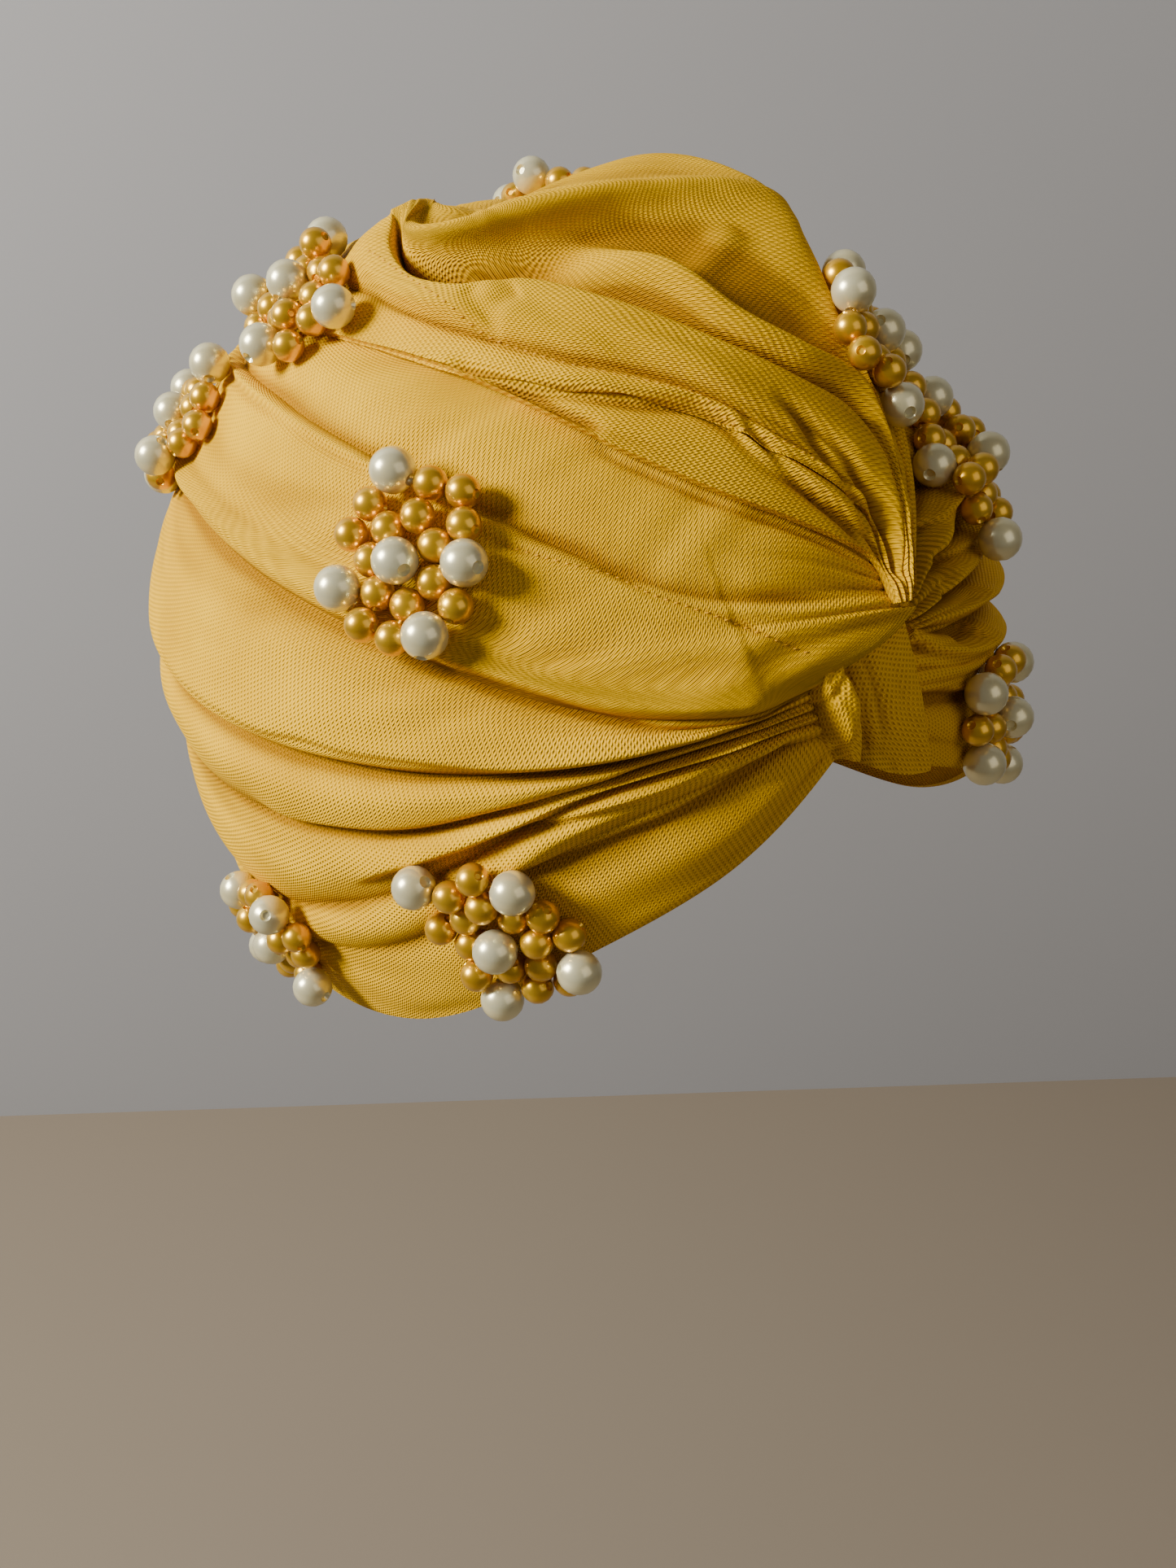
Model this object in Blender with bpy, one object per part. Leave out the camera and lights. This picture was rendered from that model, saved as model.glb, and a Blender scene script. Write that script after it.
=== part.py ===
"""Pull-on turban hat of pleated stretch cloth, with sewn clusters of round pearls.

The hat keeps its worn form. The origin is the top of the head inside the hat, +Z is up and the wearer
faces -Y, so the wearer's right side is at -X. Every place on the cloth is given by two angles on the head
form: the turn from the front towards the wearer's right, and the rise above its middle.
"""

import itertools
import math
from typing import NamedTuple

import bmesh
import bpy
import numpy as np
from mathutils import Matrix, Vector
from mathutils.bvhtree import BVHTree

MM = 0.001

# The head form: half sizes of the smooth surface that the outside of the cloth follows
HALF_WIDTH = 83.5 * MM
HALF_LENGTH = 98.0 * MM
HALF_HEIGHT = 90.0 * MM
# How much of the rounding-in a surface below the middle of the head keeps
LOWER_ROUNDING = 0.78

CLOTH_THICKNESS = 2.0 * MM
HEAD_CLEARANCE = 0.5 * MM
SEAM_GAP_TURN = 0.16
BEAD_GAP = 0.35 * MM

# Height of the middle of the head form, so that the head's top is the origin
MIDDLE = -(HALF_HEIGHT - CLOTH_THICKNESS - HEAD_CLEARANCE)

IVORY_BEAD = 8.0 * MM
GOLD_BEAD = 6.0 * MM
BEAD_SIDES = 10
BEAD_RINGS = 4
# Fraction of their radii that touching faceted beads overlap by, so that they fuse
BEAD_OVERLAP = 0.12
# How far above the cloth the search for a bead's seat starts
BEAD_REACH = 30 * MM
# Most that one bead's middle lies below a bead that it touches
BEAD_STEP = 1.0 * MM

CLOTH_COLOUR = (0.62, 0.33, 0.035, 1.0)
PEARL_COLOUR = (0.80, 0.74, 0.58, 1.0)

# Turns at which a side fold's rise is given, after its start in the twist
SIDE_TURNS = (16, 36, 60, 90, 130, 180)
# Where along a side fold its four heights lie, from 0 in the twist to 1 at the back seam
HEIGHT_PLACES = (0.0, 0.17, 0.5, 1.0)


class SideFold(NamedTuple):
    """A line along the cloth of one side, from the twist to the back seam."""

    name: str
    kind: str
    cells: int
    start: tuple
    rises: tuple
    heights_mm: tuple


class CrownFold(NamedTuple):
    """A line over the crown, as places of (turn, rise, height in mm) from the twist to the back seam."""

    name: str
    kind: str
    cells: int
    places: tuple


RIGHT_FOLDS = (
    SideFold("rim", "crease", 1, (3.6, 13.5), (4, -9.5, -29, -39, -41, -41), (1, 0.5, -0.6, -1)),
    SideFold("rim panel", "crest", 1, (4.2, 15.2), (10, -1, -21, -33, -36, -37), (1, 1.8, -1.2, -1.2)),
    SideFold("first crease", "crease", 1, (4.7, 16.6), (15, 6.5, -14, -27, -31, -32), (1, 0, -1.9, -1.6)),
    SideFold("first pleat", "crest", 1, (5.0, 17.4), (16.2, 9, -10, -24, -28, -29), (1.5, 2.5, -1.2, -1)),
    SideFold("second crease", "crease", 1, (5.3, 18.1), (17.3, 11.5, -6, -21, -24, -25), (1, 0, -1.7, -1.4)),
    SideFold("second pleat", "crest", 1, (5.5, 18.8), (18.0, 12.6, -1, -12, -15, -16), (2, 2.5, -0.4, -0.6)),
    SideFold("third crease", "crease", 1, (5.7, 19.4), (18.6, 13.6, 3.5, -3, -6, -7), (1, 0, -1, -0.8)),
    SideFold("third pleat", "crest", 1, (5.8, 20.0), (19.1, 15, 8.5, 3.5, 1, 0), (2, 2.5, 1, 0.6)),
    SideFold("fourth crease", "crease", 1, (5.9, 20.6), (19.5, 16, 12.2, 8.5, 7, 5), (1, 0, -0.5, 0)),
    SideFold("overlapping edge", "crest", 2, (6.0, 21.2), (20.1, 17.2, 14.2, 10.8, 9.5, 7.5), (2, 3, 2.6, 1.8)),
    SideFold("fifth crease", "crease", 1, (5.6, 21.9), (21.0, 22.7, 27, 29.3, 27, 21), (2, 0.5, 0.5, 0.5)),
    SideFold("band roll", "crest", 1, (2.6, 23.0), (22.2, 24.6, 29.2, 31.4, 29, 23), (4.5, 3.5, 2.5, 2)),
    SideFold("band edge", "crest", 1, (-5.0, 24.4), (24.2, 26.0, 31.5, 34, 31, 25), (5, 3.0, 1.8, 1.5)),
    SideFold("taut ridge", "crest", 1, (-10.6, 25.6), (27.6, 28.5, 34.5, 37.5, 34, 27), (5, 3.5, 1.5, 1.5)),
    SideFold("side seam", "crest", 1, (-11.2, 26.6), (31.5, 37.7, 43.7, 46.2, 43, 35), (4, 2, 2, 3)),
    SideFold("sixth crease", "crease", 1, (-11.4, 27.5), (33.0, 39.4, 45.2, 47.8, 44.5, 36.5), (3, 1, 0.5, 0)),
    SideFold("upper panel", "crest", 1, (-11.5, 28.4), (39, 46.5, 51.5, 53.5, 48, 38.5), (2.6, 2, 2, 1.5)),
    SideFold("tucked top", "crease", 0, (-11.6, 29.3), (48, 57.0, 60.5, 61.5, 54, 44.5), (2.2, -0.5, -0.5, -0.5)),
)

CROWN_FOLDS = (
    CrownFold("wedge edge", "crest", 1, ((-12.2, 29.9, 5), (-6.5, 36, 3.2), (12, 44.5, 3.2), (43, 56, 3.4),
              (85, 58.5, 3.4), (130, 51, 3.2), (180, 41.5, 3))),
    CrownFold("wedge panel", "crest", 1, ((-12.6, 30.1, 5), (-7.5, 38, 3.6), (10, 49, 4), (43, 57.2, 3.6),
              (85, 59.5, 3.6), (130, 52.3, 3.4), (180, 42.8, 3))),
    CrownFold("long crease", "crease", 1, ((-13.0, 30.2, 4.6), (-8.5, 41.5, 2), (8, 54.5, 2), (43, 58.4, 3),
              (85, 60.5, 3.2), (130, 53.5, 3), (180, 44, 2.5))),
    CrownFold("roll foot", "crest", 1, ((-13.4, 30.3, 4), (-8.6, 44, 4), (8, 57.5, 5), (43, 61.5, 4.5),
              (85, 63.5, 4.5), (130, 56, 4), (180, 46, 3))),
    CrownFold("front roll", "crest", 1, ((-13.8, 30.4, 5), (-8.6, 47, 7), (8, 61, 9), (43, 66.3, 10),
              (80, 67.5, 9), (130, 60.5, 4.5), (180, 49, 3))),
    CrownFold("pocket floor", "crest", 1, ((-14.3, 30.4, 4), (-9.6, 49.5, 4), (2, 64, 4), (35, 71.5, 2.4),
              (88, 71.8, 4.5), (128, 64.5, 3.5), (180, 52, 2))),
    CrownFold("second fold", "crest", 1, ((-14.8, 30.4, 5), (-14, 46, 8), (-5, 62, 10), (12, 71.5, 8),
              (88, 73.5, 6.5), (128, 67, 3.5), (180, 54.5, 2))),
    CrownFold("back floor", "crest", 1, ((-15.3, 30.3, 5), (-17, 47, 6), (-15, 63, 8.5), (0, 71.5, 9),
              (82, 74.5, 7), (128, 69, 3.5), (180, 56.5, 2))),
    CrownFold("tall ridge", "crest", 1, ((-15.8, 30.1, 5), (-21, 48.5, 7), (-29, 65.5, 18), (-4, 73, 15),
              (74, 76.5, 7.5), (128, 71, 4), (180, 58.5, 2))),
    CrownFold("ridge back", "crest", 1, ((-16.2, 29.8, 5), (-26.5, 48, 5), (-53, 68.5, 19), (-8, 79, 12),
              (92, 79, 6), (135, 73.5, 4.5), (180, 60.5, 2))),
    CrownFold("rear slope", "crest", 1, ((-16.6, 29.4, 4.5), (-33, 46.5, 3.6), (-70, 62.5, 5), (-110, 80, 4),
              (160, 82, 3), (152, 74, 2.8), (180, 62.5, 3))),
    CrownFold("crown foot", "crease", 0, ((-17.0, 29.0, 4), (-37, 43.8, 3.2), (-66, 56.5, 3.2), (-105, 66, 3),
              (-136, 68.5, 2.8), (-160, 67.5, 2.8), (-180, 64.5, 2.8))),
)

LEFT_FOLDS = (
    SideFold("rim", "crease", 1, (-7.2, 9.5), (2, -10, -29, -39, -41, -41), (0.2, 0.3, 0, 0)),
    SideFold("brow band", "crest", 1, (-7.4, 13.0), (6.5, -3, -20, -31, -34, -35), (0.2, 1.5, 1.5, 1)),
    SideFold("band crease", "crease", 1, (-7.8, 17.0), (13.5, 7, -8, -19, -23, -24), (0.2, 0, 0, 0)),
    SideFold("third roll", "crest", 1, (-9.5, 20.5), (16.8, 11.5, 1, -8, -11, -12), (0.5, 2.5, 1.4, 0.5)),
    SideFold("deep crease", "crease", 1, (-13.6, 22.8), (20.2, 15.5, 8, 1.5, -1, -3), (0.5, -0.5, 0, 0)),
    SideFold("second roll", "crest", 1, (-14.3, 23.2), (22.2, 18, 13.5, 9, 8, 5), (1, 4, 1.8, 1.2)),
    SideFold("upper crease", "crease", 1, (-14.9, 23.7), (24.0, 21, 19.5, 18, 17, 13), (0.5, -0.5, 0, 0)),
    SideFold("first roll", "crest", 1, (-15.4, 24.3), (26.0, 25, 26, 27, 26, 21), (1, 4, 1.4, 1.2)),
    SideFold("side crease", "crease", 1, (-15.9, 25.0), (28.2, 29, 32, 35, 34, 28), (0.5, -0.5, 0, 0)),
    SideFold("side pleat", "crest", 1, (-16.3, 25.7), (30.4, 33, 38.5, 42.5, 41, 35), (1, 3.2, 1.2, 1)),
    SideFold("high crease", "crease", 1, (-16.6, 26.3), (33.0, 37, 44.5, 50, 49, 43), (0.5, 0, 0, 0)),
    SideFold("high pleat", "crest", 1, (-16.8, 26.9), (35.8, 40.5, 49.5, 56, 56, 50), (0.5, 0.4, 4.5, 1.5)),
    SideFold("top crease", "crease", 1, (-17.0, 27.5), (38.2, 43.5, 53.5, 61.5, 62, 57), (0.5, 0, 0, 0)),
    SideFold("tucked top", "crest", 0, (-17.6, 28.4), (41.5, 49, 60, 68.5, 71.5, 68), (0.2, -0.4, -0.4, -0.4)),
)

TWIST_FOLDS = (
    CrownFold("right edge", "crease", 1, ((-9.0, 31.5, -0.8), (4.8, 23.6, 0), (3.9, 19, 1), (2.4, 13.6, 1))),
    CrownFold("inner loop", "crest", 1, ((-10.2, 31.2, -0.8), (1.0, 24.5, 1.5), (1.8, 18, 4), (1.2, 13.0, 3))),
    CrownFold("loop crease", "crease", 1, ((-12.0, 30.9, -0.8), (-2.2, 25, 0.5), (-1.0, 18, 1), (-1.0, 12.0, 1))),
    CrownFold("outer loop", "crest", 1, ((-13.6, 30.6, -0.8), (-6.8, 25.4, 1.5), (-5.2, 17, 5), (-5.2, 9.5, 4.5))),
    CrownFold("left edge", "crease", 0, ((-15.4, 30.0, -0.8), (-10.4, 24.5, 2.6), (-9.2, 17, 3.6), (-9.4, 9.0, 3.4))),
)


class Bead(NamedTuple):
    """A bead of a cluster, by its place across and up from the cluster's middle, in mm."""

    kind: str
    across: float
    up: float
    lift: float


# The ivory beads of a cluster, and the gold beads that tie them together
ROUND_CLUSTER = (
    Bead("ivory", -3.7, 13.9, 0.0),
    Bead("gold", -7.4, 8.4, 0.0),
    Bead("gold", -4.3, 4.8, 0.0),
    Bead("ivory", -2.8, -0.8, 1.0),
    Bead("gold", 3.2, 1.6, 0.0),
    Bead("ivory", 9.3, -1.2, 0.0),
    Bead("gold", -7.7, 0.0, 0.0),
    Bead("ivory", -11.5, -4.7, 0.0),
    Bead("gold", -0.9, -7.0, 0.0),
    Bead("ivory", 3.2, -12.5, 0.0),
)
LONG_CLUSTER = (
    Bead("ivory", -15.0, 7.5, 0.0),
    Bead("gold", -8.4, 6.6, 0.0),
    Bead("gold", -2.6, 5.2, 0.0),
    Bead("ivory", 1.7, 9.8, 0.0),
    Bead("ivory", -1.6, -1.6, 1.0),
    Bead("gold", 4.6, -0.8, 0.0),
    Bead("ivory", 10.4, -4.0, 0.0),
    Bead("gold", 0.7, -6.8, 0.0),
    Bead("ivory", -2.3, -11.4, 0.0),
)


class Cluster(NamedTuple):
    """A sewn cluster: its layout, its place on the head form and how far its layout is turned there."""

    name: str
    layout: tuple
    turn: float
    rise: float
    spin: float


CLUSTERS = (
    Cluster("pearls_right_side", ROUND_CLUSTER, 54, 36, 12),
    Cluster("pearls_right_temple", LONG_CLUSTER, 43, -4, 0),
    Cluster("pearls_right_crown", LONG_CLUSTER, 103, 58.5, 60),
    Cluster("pearls_right_back", ROUND_CLUSTER, 114, 35, 150),
    Cluster("pearls_right_ear", LONG_CLUSTER, 82, -23, 100),
    Cluster("pearls_top", ROUND_CLUSTER, -138, 71.5, 40),
    Cluster("pearls_left_crown", ROUND_CLUSTER, -31.5, 51, 200),
    Cluster("pearls_left_temple", LONG_CLUSTER, -38.5, 33, 75),
    Cluster("pearls_left_brow", ROUND_CLUSTER, -27, 6.5, 80),
    Cluster("pearls_left_back", ROUND_CLUSTER, -106, 34, 20),
    Cluster("pearls_left_ear", LONG_CLUSTER, -82, -22, 250),
)


def form_direction(turn, rise):
    """Unit vector of two angles, in degrees, before the head form's half sizes stretch it."""
    turn = math.radians(turn)
    rise = math.radians(rise)
    return np.array((-math.cos(rise) * math.sin(turn), -math.cos(rise) * math.cos(turn), math.sin(rise)))


def form_point(directions, heights):
    """Points at heights above the head form, for an array of unit vectors and one of metres."""
    rise = np.arcsin(np.clip(directions[..., 2], -1.0, 1.0))
    level = np.maximum(np.hypot(directions[..., 0], directions[..., 1]), 1e-9)
    spread = np.where(rise < 0.0, np.cos(LOWER_ROUNDING * rise), np.cos(rise)) / level
    x = directions[..., 0] * spread * HALF_WIDTH
    y = directions[..., 1] * spread * HALF_LENGTH
    z = directions[..., 2] * HALF_HEIGHT
    normal = np.stack((x / HALF_WIDTH**2, y / HALF_LENGTH**2, z / HALF_HEIGHT**2), axis=-1)
    normal /= np.linalg.norm(normal, axis=-1, keepdims=True)
    point = np.stack((x, y, z + MIDDLE), axis=-1)
    return point + normal * np.asarray(heights)[..., None]


def smooth_curve(places, values, samples):
    """Values at samples, on a smooth curve through values at places (Catmull-Rom)."""
    places = np.asarray(places, float)
    values = np.asarray(values, float)
    slopes = np.gradient(values, places, axis=0)
    index = np.clip(np.searchsorted(places, samples, side="right") - 1, 0, len(places) - 2)
    span = places[index + 1] - places[index]
    t = (samples - places[index]) / span
    if values.ndim > 1:
        t = t[:, None]
        span = span[:, None]
    start = values[index] * (1 + 2 * t) * (1 - t) ** 2 + slopes[index] * span * t * (1 - t) ** 2
    end = values[index + 1] * (3 - 2 * t) * t**2 - slopes[index + 1] * span * (1 - t) * t**2
    return start + end


def side_line(fold, side, samples):
    """Directions and heights along a side fold; side is 1 on the wearer's right and -1 on the left."""
    stations = [form_direction(*fold.start)]
    for turn, rise in zip(SIDE_TURNS, fold.rises):
        stations.append(form_direction(turn_on_side(turn, side), rise))
    directions = smooth_curve(np.linspace(0, 1, len(stations)), stations, samples)
    heights = smooth_curve(HEIGHT_PLACES, fold.heights_mm, samples)
    return directions, heights


def turn_on_side(turn, side):
    """A side fold's turn; the wearer's left folds start further round, where their twist is."""
    first_left_turn = 22
    if side > 0 or turn == SIDE_TURNS[-1]:
        return side * (turn - (SEAM_GAP_TURN if turn == SIDE_TURNS[-1] else 0))
    share = (turn - SIDE_TURNS[0]) / (SIDE_TURNS[-1] - SIDE_TURNS[0])
    return -(turn + (first_left_turn - SIDE_TURNS[0]) * (1 - share))


def crown_line(fold, side, samples):
    """Directions and heights along a crown fold, which ends short of the back seam on its own side."""
    places = [list(place) for place in fold.places]
    if abs(places[-1][0]) == SIDE_TURNS[-1]:
        places[-1][0] = side * (SIDE_TURNS[-1] - SEAM_GAP_TURN)
    stations = [form_direction(turn, rise) for turn, rise, height in places]
    share = np.linspace(0, 1, len(places))
    directions = smooth_curve(share, stations, samples)
    heights = smooth_curve(share, [height for turn, rise, height in places], samples)
    return directions, heights


def eased(kind, next_kind, t):
    """How a height passes from one fold line to the next: round at a crest, sharp at a crease."""
    if kind == "crease" and next_kind == "crest":
        return math.sin(t * math.pi / 2)
    if kind == "crest" and next_kind == "crease":
        return 1 - math.cos(t * math.pi / 2)
    if kind == "crest":
        return t * t * (3 - 2 * t)
    return t


def cloth_grid(folds, line, side, samples):
    """Directions and heights of a cloth, one row for each fold line and each line between two."""
    directions = []
    heights = []
    for fold, following in zip(folds, folds[1:]):
        here = line(fold, side, samples)
        there = line(following, side, samples)
        for step in range(fold.cells):
            t = step / fold.cells
            directions.append(here[0] * (1 - t) + there[0] * t)
            ease = eased(fold.kind, following.kind, t)
            heights.append(here[1] * (1 - ease) + there[1] * ease)
    last = line(folds[-1], side, samples)
    directions.append(last[0])
    heights.append(last[1])
    directions = np.array(directions)
    directions /= np.linalg.norm(directions, axis=-1, keepdims=True)
    return directions, np.array(heights) * MM


def add_object(name, mesh, material, collection):
    """A new object of a finished mesh, shaded smooth over its folds."""
    obj = bpy.data.objects.new(name, mesh)
    collection.objects.link(obj)
    mesh.materials.append(material)
    mesh.shade_smooth()
    mesh.set_sharp_from_angle(angle=math.radians(50))
    return obj


def add_cloth(name, folds, line, side, samples, material, collection):
    """A cloth: a flat grid laid on its folds, with the inner face drawn in from the outer."""
    directions, heights = cloth_grid(folds, line, side, samples)
    outer = form_point(directions, heights)
    inner = form_point(directions, heights - CLOTH_THICKNESS)
    rows, columns = heights.shape
    bm = bmesh.new()
    bmesh.ops.create_grid(bm, x_segments=columns - 1, y_segments=rows - 1, size=0.5)
    place = {}
    for vertex in bm.verts:
        column = round((vertex.co.x + 0.5) * (columns - 1))
        row = round((vertex.co.y + 0.5) * (rows - 1))
        place[vertex] = (row, column)
    outside = list(bm.verts)
    copied = bmesh.ops.duplicate(bm, geom=bm.faces[:])
    for old, new in copied["vert_map"].items():
        if old in place and new not in place:
            place[new] = place[old]
    inside = [vertex for vertex in bm.verts if vertex not in set(outside)]
    for vertex in outside:
        vertex.co = Vector(outer[place[vertex]])
    for vertex in inside:
        vertex.co = Vector(inner[place[vertex]])
    edges = [edge for edge in bm.edges if edge.is_boundary]
    bmesh.ops.bridge_loops(bm, edges=edges)
    bmesh.ops.recalc_face_normals(bm, faces=bm.faces[:])
    bmesh.ops.triangulate(bm, faces=bm.faces[:])
    mesh = bpy.data.meshes.new(name)
    bm.to_mesh(mesh)
    bm.free()
    return add_object(name, mesh, material, collection)


def surface_tree(objects):
    """A search tree over the faces of several objects, in world coordinates."""
    points = []
    faces = []
    for obj in objects:
        first = len(points)
        points.extend(obj.matrix_world @ vertex.co for vertex in obj.data.vertices)
        faces.extend([first + index for index in polygon.vertices] for polygon in obj.data.polygons)
    return BVHTree.FromPolygons(points, faces)


def seated_height(tree, foot, normal, radius):
    """Height along a normal at which a bead of this radius clears the cloth by the bead gap."""
    hit = tree.ray_cast(foot + normal * BEAD_REACH, -normal)[0]
    height = (hit - foot).dot(normal) + radius + BEAD_GAP
    for _ in range(6):
        nearest = tree.find_nearest(foot + normal * height)
        height += max(0.0, radius + BEAD_GAP - nearest[3])
    return height


def laid_out(cluster, middle, normal):
    """The place below each bead, on the plane through a middle at right angles to a normal."""
    across = Vector((0, 0, 1)).cross(normal).normalized()
    across = Matrix.Rotation(math.radians(cluster.spin), 3, normal) @ across
    up = normal.cross(across)
    spacing = MM * (1 - BEAD_OVERLAP)
    return [middle + (across * bead.across + up * bead.up) * spacing for bead in cluster.layout]


def bead_places(cluster, tree):
    """Centre and radius of each bead of a cluster, laid on the cloth at the slope it has there."""
    direction = form_direction(cluster.turn, cluster.rise)
    middle = Vector(form_point(direction, 0.0))
    outward = (Vector(form_point(direction, MM)) - middle).normalized()
    slope = Vector()
    for foot in laid_out(cluster, middle, outward):
        slope += tree.ray_cast(foot + outward * BEAD_REACH, -outward)[1]
    normal = slope.normalized()
    middle = tree.ray_cast(middle + outward * BEAD_REACH, -outward)[0]
    feet = laid_out(cluster, middle, normal)
    radii = [(IVORY_BEAD if bead.kind == "ivory" else GOLD_BEAD) / 2 for bead in cluster.layout]
    heights = [
        seated_height(tree, foot, normal, radius) + bead.lift * MM
        for foot, radius, bead in zip(feet, radii, cluster.layout)
    ]
    for _ in cluster.layout:
        for i, j in itertools.permutations(range(len(feet)), 2):
            if (feet[i] - feet[j]).length < radii[i] + radii[j]:
                heights[i] = max(heights[i], heights[j] - BEAD_STEP)
    return [(foot + normal * height, radius) for foot, height, radius in zip(feet, heights, radii)]


def add_bead(centre, radius, helpers):
    """A faceted round bead, kept among the helpers until its cluster is fused."""
    bm = bmesh.new()
    bmesh.ops.create_uvsphere(bm, u_segments=BEAD_SIDES, v_segments=BEAD_RINGS, radius=radius)
    mesh = bpy.data.meshes.new("bead")
    bm.to_mesh(mesh)
    bm.free()
    bead = bpy.data.objects.new("bead", mesh)
    bead.location = centre
    bead.hide_render = True
    bead.display_type = "WIRE"
    helpers.objects.link(bead)
    return bead


def add_cluster(cluster, tree, material, collection, helpers):
    """One body of touching beads: the first bead, united with each of the others in turn."""
    beads = [add_bead(centre, radius, helpers) for centre, radius in bead_places(cluster, tree)]
    first = beads[0]
    for bead in beads[1:]:
        union = first.modifiers.new("fuse", "BOOLEAN")
        union.operation = "UNION"
        union.object = bead
    graph = bpy.context.evaluated_depsgraph_get()
    mesh = bpy.data.meshes.new_from_object(first.evaluated_get(graph))
    mesh.name = cluster.name
    mesh.transform(first.matrix_world)
    for bead in beads:
        bpy.data.objects.remove(bead)
    return add_object(cluster.name, mesh, material, collection)


def add_material(name, colour, roughness):
    """A plain finish for one kind of piece."""
    material = bpy.data.materials.new(name)
    material.use_nodes = True
    shader = material.node_tree.nodes["Principled BSDF"]
    shader.inputs["Base Color"].default_value = colour
    shader.inputs["Roughness"].default_value = roughness
    shader.inputs["Metallic"].default_value = 0.0
    material.diffuse_color = colour
    return material


def clear_scene():
    """Removes what a new Blender file starts with."""
    for obj in list(bpy.data.objects):
        bpy.data.objects.remove(obj)


def main():
    clear_scene()
    hat = bpy.data.collections.new("turban_hat")
    helpers = bpy.data.collections.new("helpers")
    bpy.context.scene.collection.children.link(hat)
    bpy.context.scene.collection.children.link(helpers)
    cloth = add_material("mustard_jersey", CLOTH_COLOUR, 0.6)
    pearl = add_material("pearl", PEARL_COLOUR, 0.25)

    side_samples = np.linspace(0, 1, 15)
    crown_samples = np.linspace(0, 1, 19)
    twist_samples = np.linspace(0, 1, 7)
    cloths = [
        add_cloth("right_drape", RIGHT_FOLDS, side_line, 1, side_samples, cloth, hat),
        add_cloth("crown_fold", CROWN_FOLDS, crown_line, 1, crown_samples, cloth, hat),
        add_cloth("left_drape", LEFT_FOLDS, side_line, -1, side_samples, cloth, hat),
        add_cloth("twist_loops", TWIST_FOLDS, crown_line, 1, twist_samples, cloth, hat),
    ]
    tree = surface_tree(cloths)
    for cluster in CLUSTERS:
        add_cluster(cluster, tree, pearl, hat, helpers)
    bpy.data.collections.remove(helpers)


main()
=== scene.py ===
"""Looks of a pull-on turban hat: its pleated cloth, its seams, its sewn pearls, the floor and the light.

It is laid out as an add-on: each operator in the sidebar panel makes one piece or one group of pieces.
Places on the cloth are two angles on the head form, as in the model of the part: the turn from the front
towards the wearer's right, and the rise above the middle of the form.
"""

import math
from typing import NamedTuple

import bmesh
import bpy
import numpy as np
from mathutils import Matrix, Vector
from mathutils.bvhtree import BVHTree


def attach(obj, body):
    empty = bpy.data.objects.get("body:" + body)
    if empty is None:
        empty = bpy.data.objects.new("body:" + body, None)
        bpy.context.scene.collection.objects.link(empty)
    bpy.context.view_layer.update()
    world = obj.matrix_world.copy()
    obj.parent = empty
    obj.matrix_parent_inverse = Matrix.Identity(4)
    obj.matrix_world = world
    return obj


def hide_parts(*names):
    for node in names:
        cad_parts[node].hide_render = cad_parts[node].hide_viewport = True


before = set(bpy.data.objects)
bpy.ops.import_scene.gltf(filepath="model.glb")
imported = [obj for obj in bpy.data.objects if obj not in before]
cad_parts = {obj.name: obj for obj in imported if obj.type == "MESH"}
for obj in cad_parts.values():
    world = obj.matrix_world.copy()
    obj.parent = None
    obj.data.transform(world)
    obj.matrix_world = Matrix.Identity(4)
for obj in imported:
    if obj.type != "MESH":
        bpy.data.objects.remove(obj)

bl_info = {
    "name": "Turban hat with pearls",
    "version": (1, 0, 0),
    "blender": (4, 5, 0),
    "location": "View3D > Sidebar > Turban",
    "description": "Makes the pleated cloth, the seams and the pearls of a turban hat on its measured frame",
    "category": "Add Mesh",
}

MM = 0.001

# The head form, the same as in the model of the part
HALF_SIZES = np.array((83.5, 98.0, 90.0)) * MM
LOWER_ROUNDING = 0.78
MIDDLE = -(90.0 - 2.0 - 0.5) * MM

# The photograph's camera: picture size in pixels, lens and sensor height in mm, place and directions
PHOTO_SIZE = np.array((1445, 1927))
CAMERA_LENS = 37.3
SENSOR_SIZE = 36.0
CAMERA_PLACE = np.array((-0.163516, -0.271602, 0.084544))
CAMERA_RIGHT = np.array((0.83982, -0.54215, -0.02799))
CAMERA_UP = np.array((0.31909, 0.45126, 0.83339))
CAMERA_FORWARD = np.cross(CAMERA_UP, CAMERA_RIGHT)
# How often a place is brought nearer to its picture point, and its trial and longest step in degrees
PLACE_STEPS = 8
TRIAL_STEP = 0.1
LONGEST_STEP = 6

# Turn and rise where the first fold of the crown leaves the twist, and how far from it each next fold does
TWIST_START = (-8.3, 27.35)
TWIST_STEP = (-0.17, -0.03)
# Turns at which the rises of a side fold are given
SIDE_TURNS = (16, 36, 60, 90, 130, 180)
# Distance between two rows of the cloth's mesh, across its folds
ROW_PITCH = 0.75 * MM
# Half width of the step at a lap's edge, and how deep its groove is, as a share of its height
LAP_EDGE = 0.6 * MM
LAP_GROOVE = 0.45
# A wrinkle fades in and out over one part in this many of its length
END_FADE = 7
# The fine strands beside the twist: how uneven their spacing is, how far and how slowly they sway, the shape
# of their crests, the level of their middle and the length on which they start
STRAND_SPREAD = 0.35
STRAND_SWAY = 0.25
SWAY_LENGTH = 18 * MM
STRAND_POWER = 0.8
STRAND_LEVEL = 0.6
STRAND_START = 3 * MM
# How far from a cloth's edge its wrinkles reach their full height
EDGE_FADE = 2.5 * MM
# How low the inner side goes over the form, and how thin the cloth gets in its deepest creases
LOWEST_INSIDE = -2.3 * MM
LEAST_THICKNESS = 0.4 * MM
# How much of the knit goes round a cloth's edge to its inner side
EDGE_WIDTH = 1.4 * MM
# How much lower a row that is doubled to make the count of rows odd lies
DOUBLED_DROP = 0.3 * MM
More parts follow.
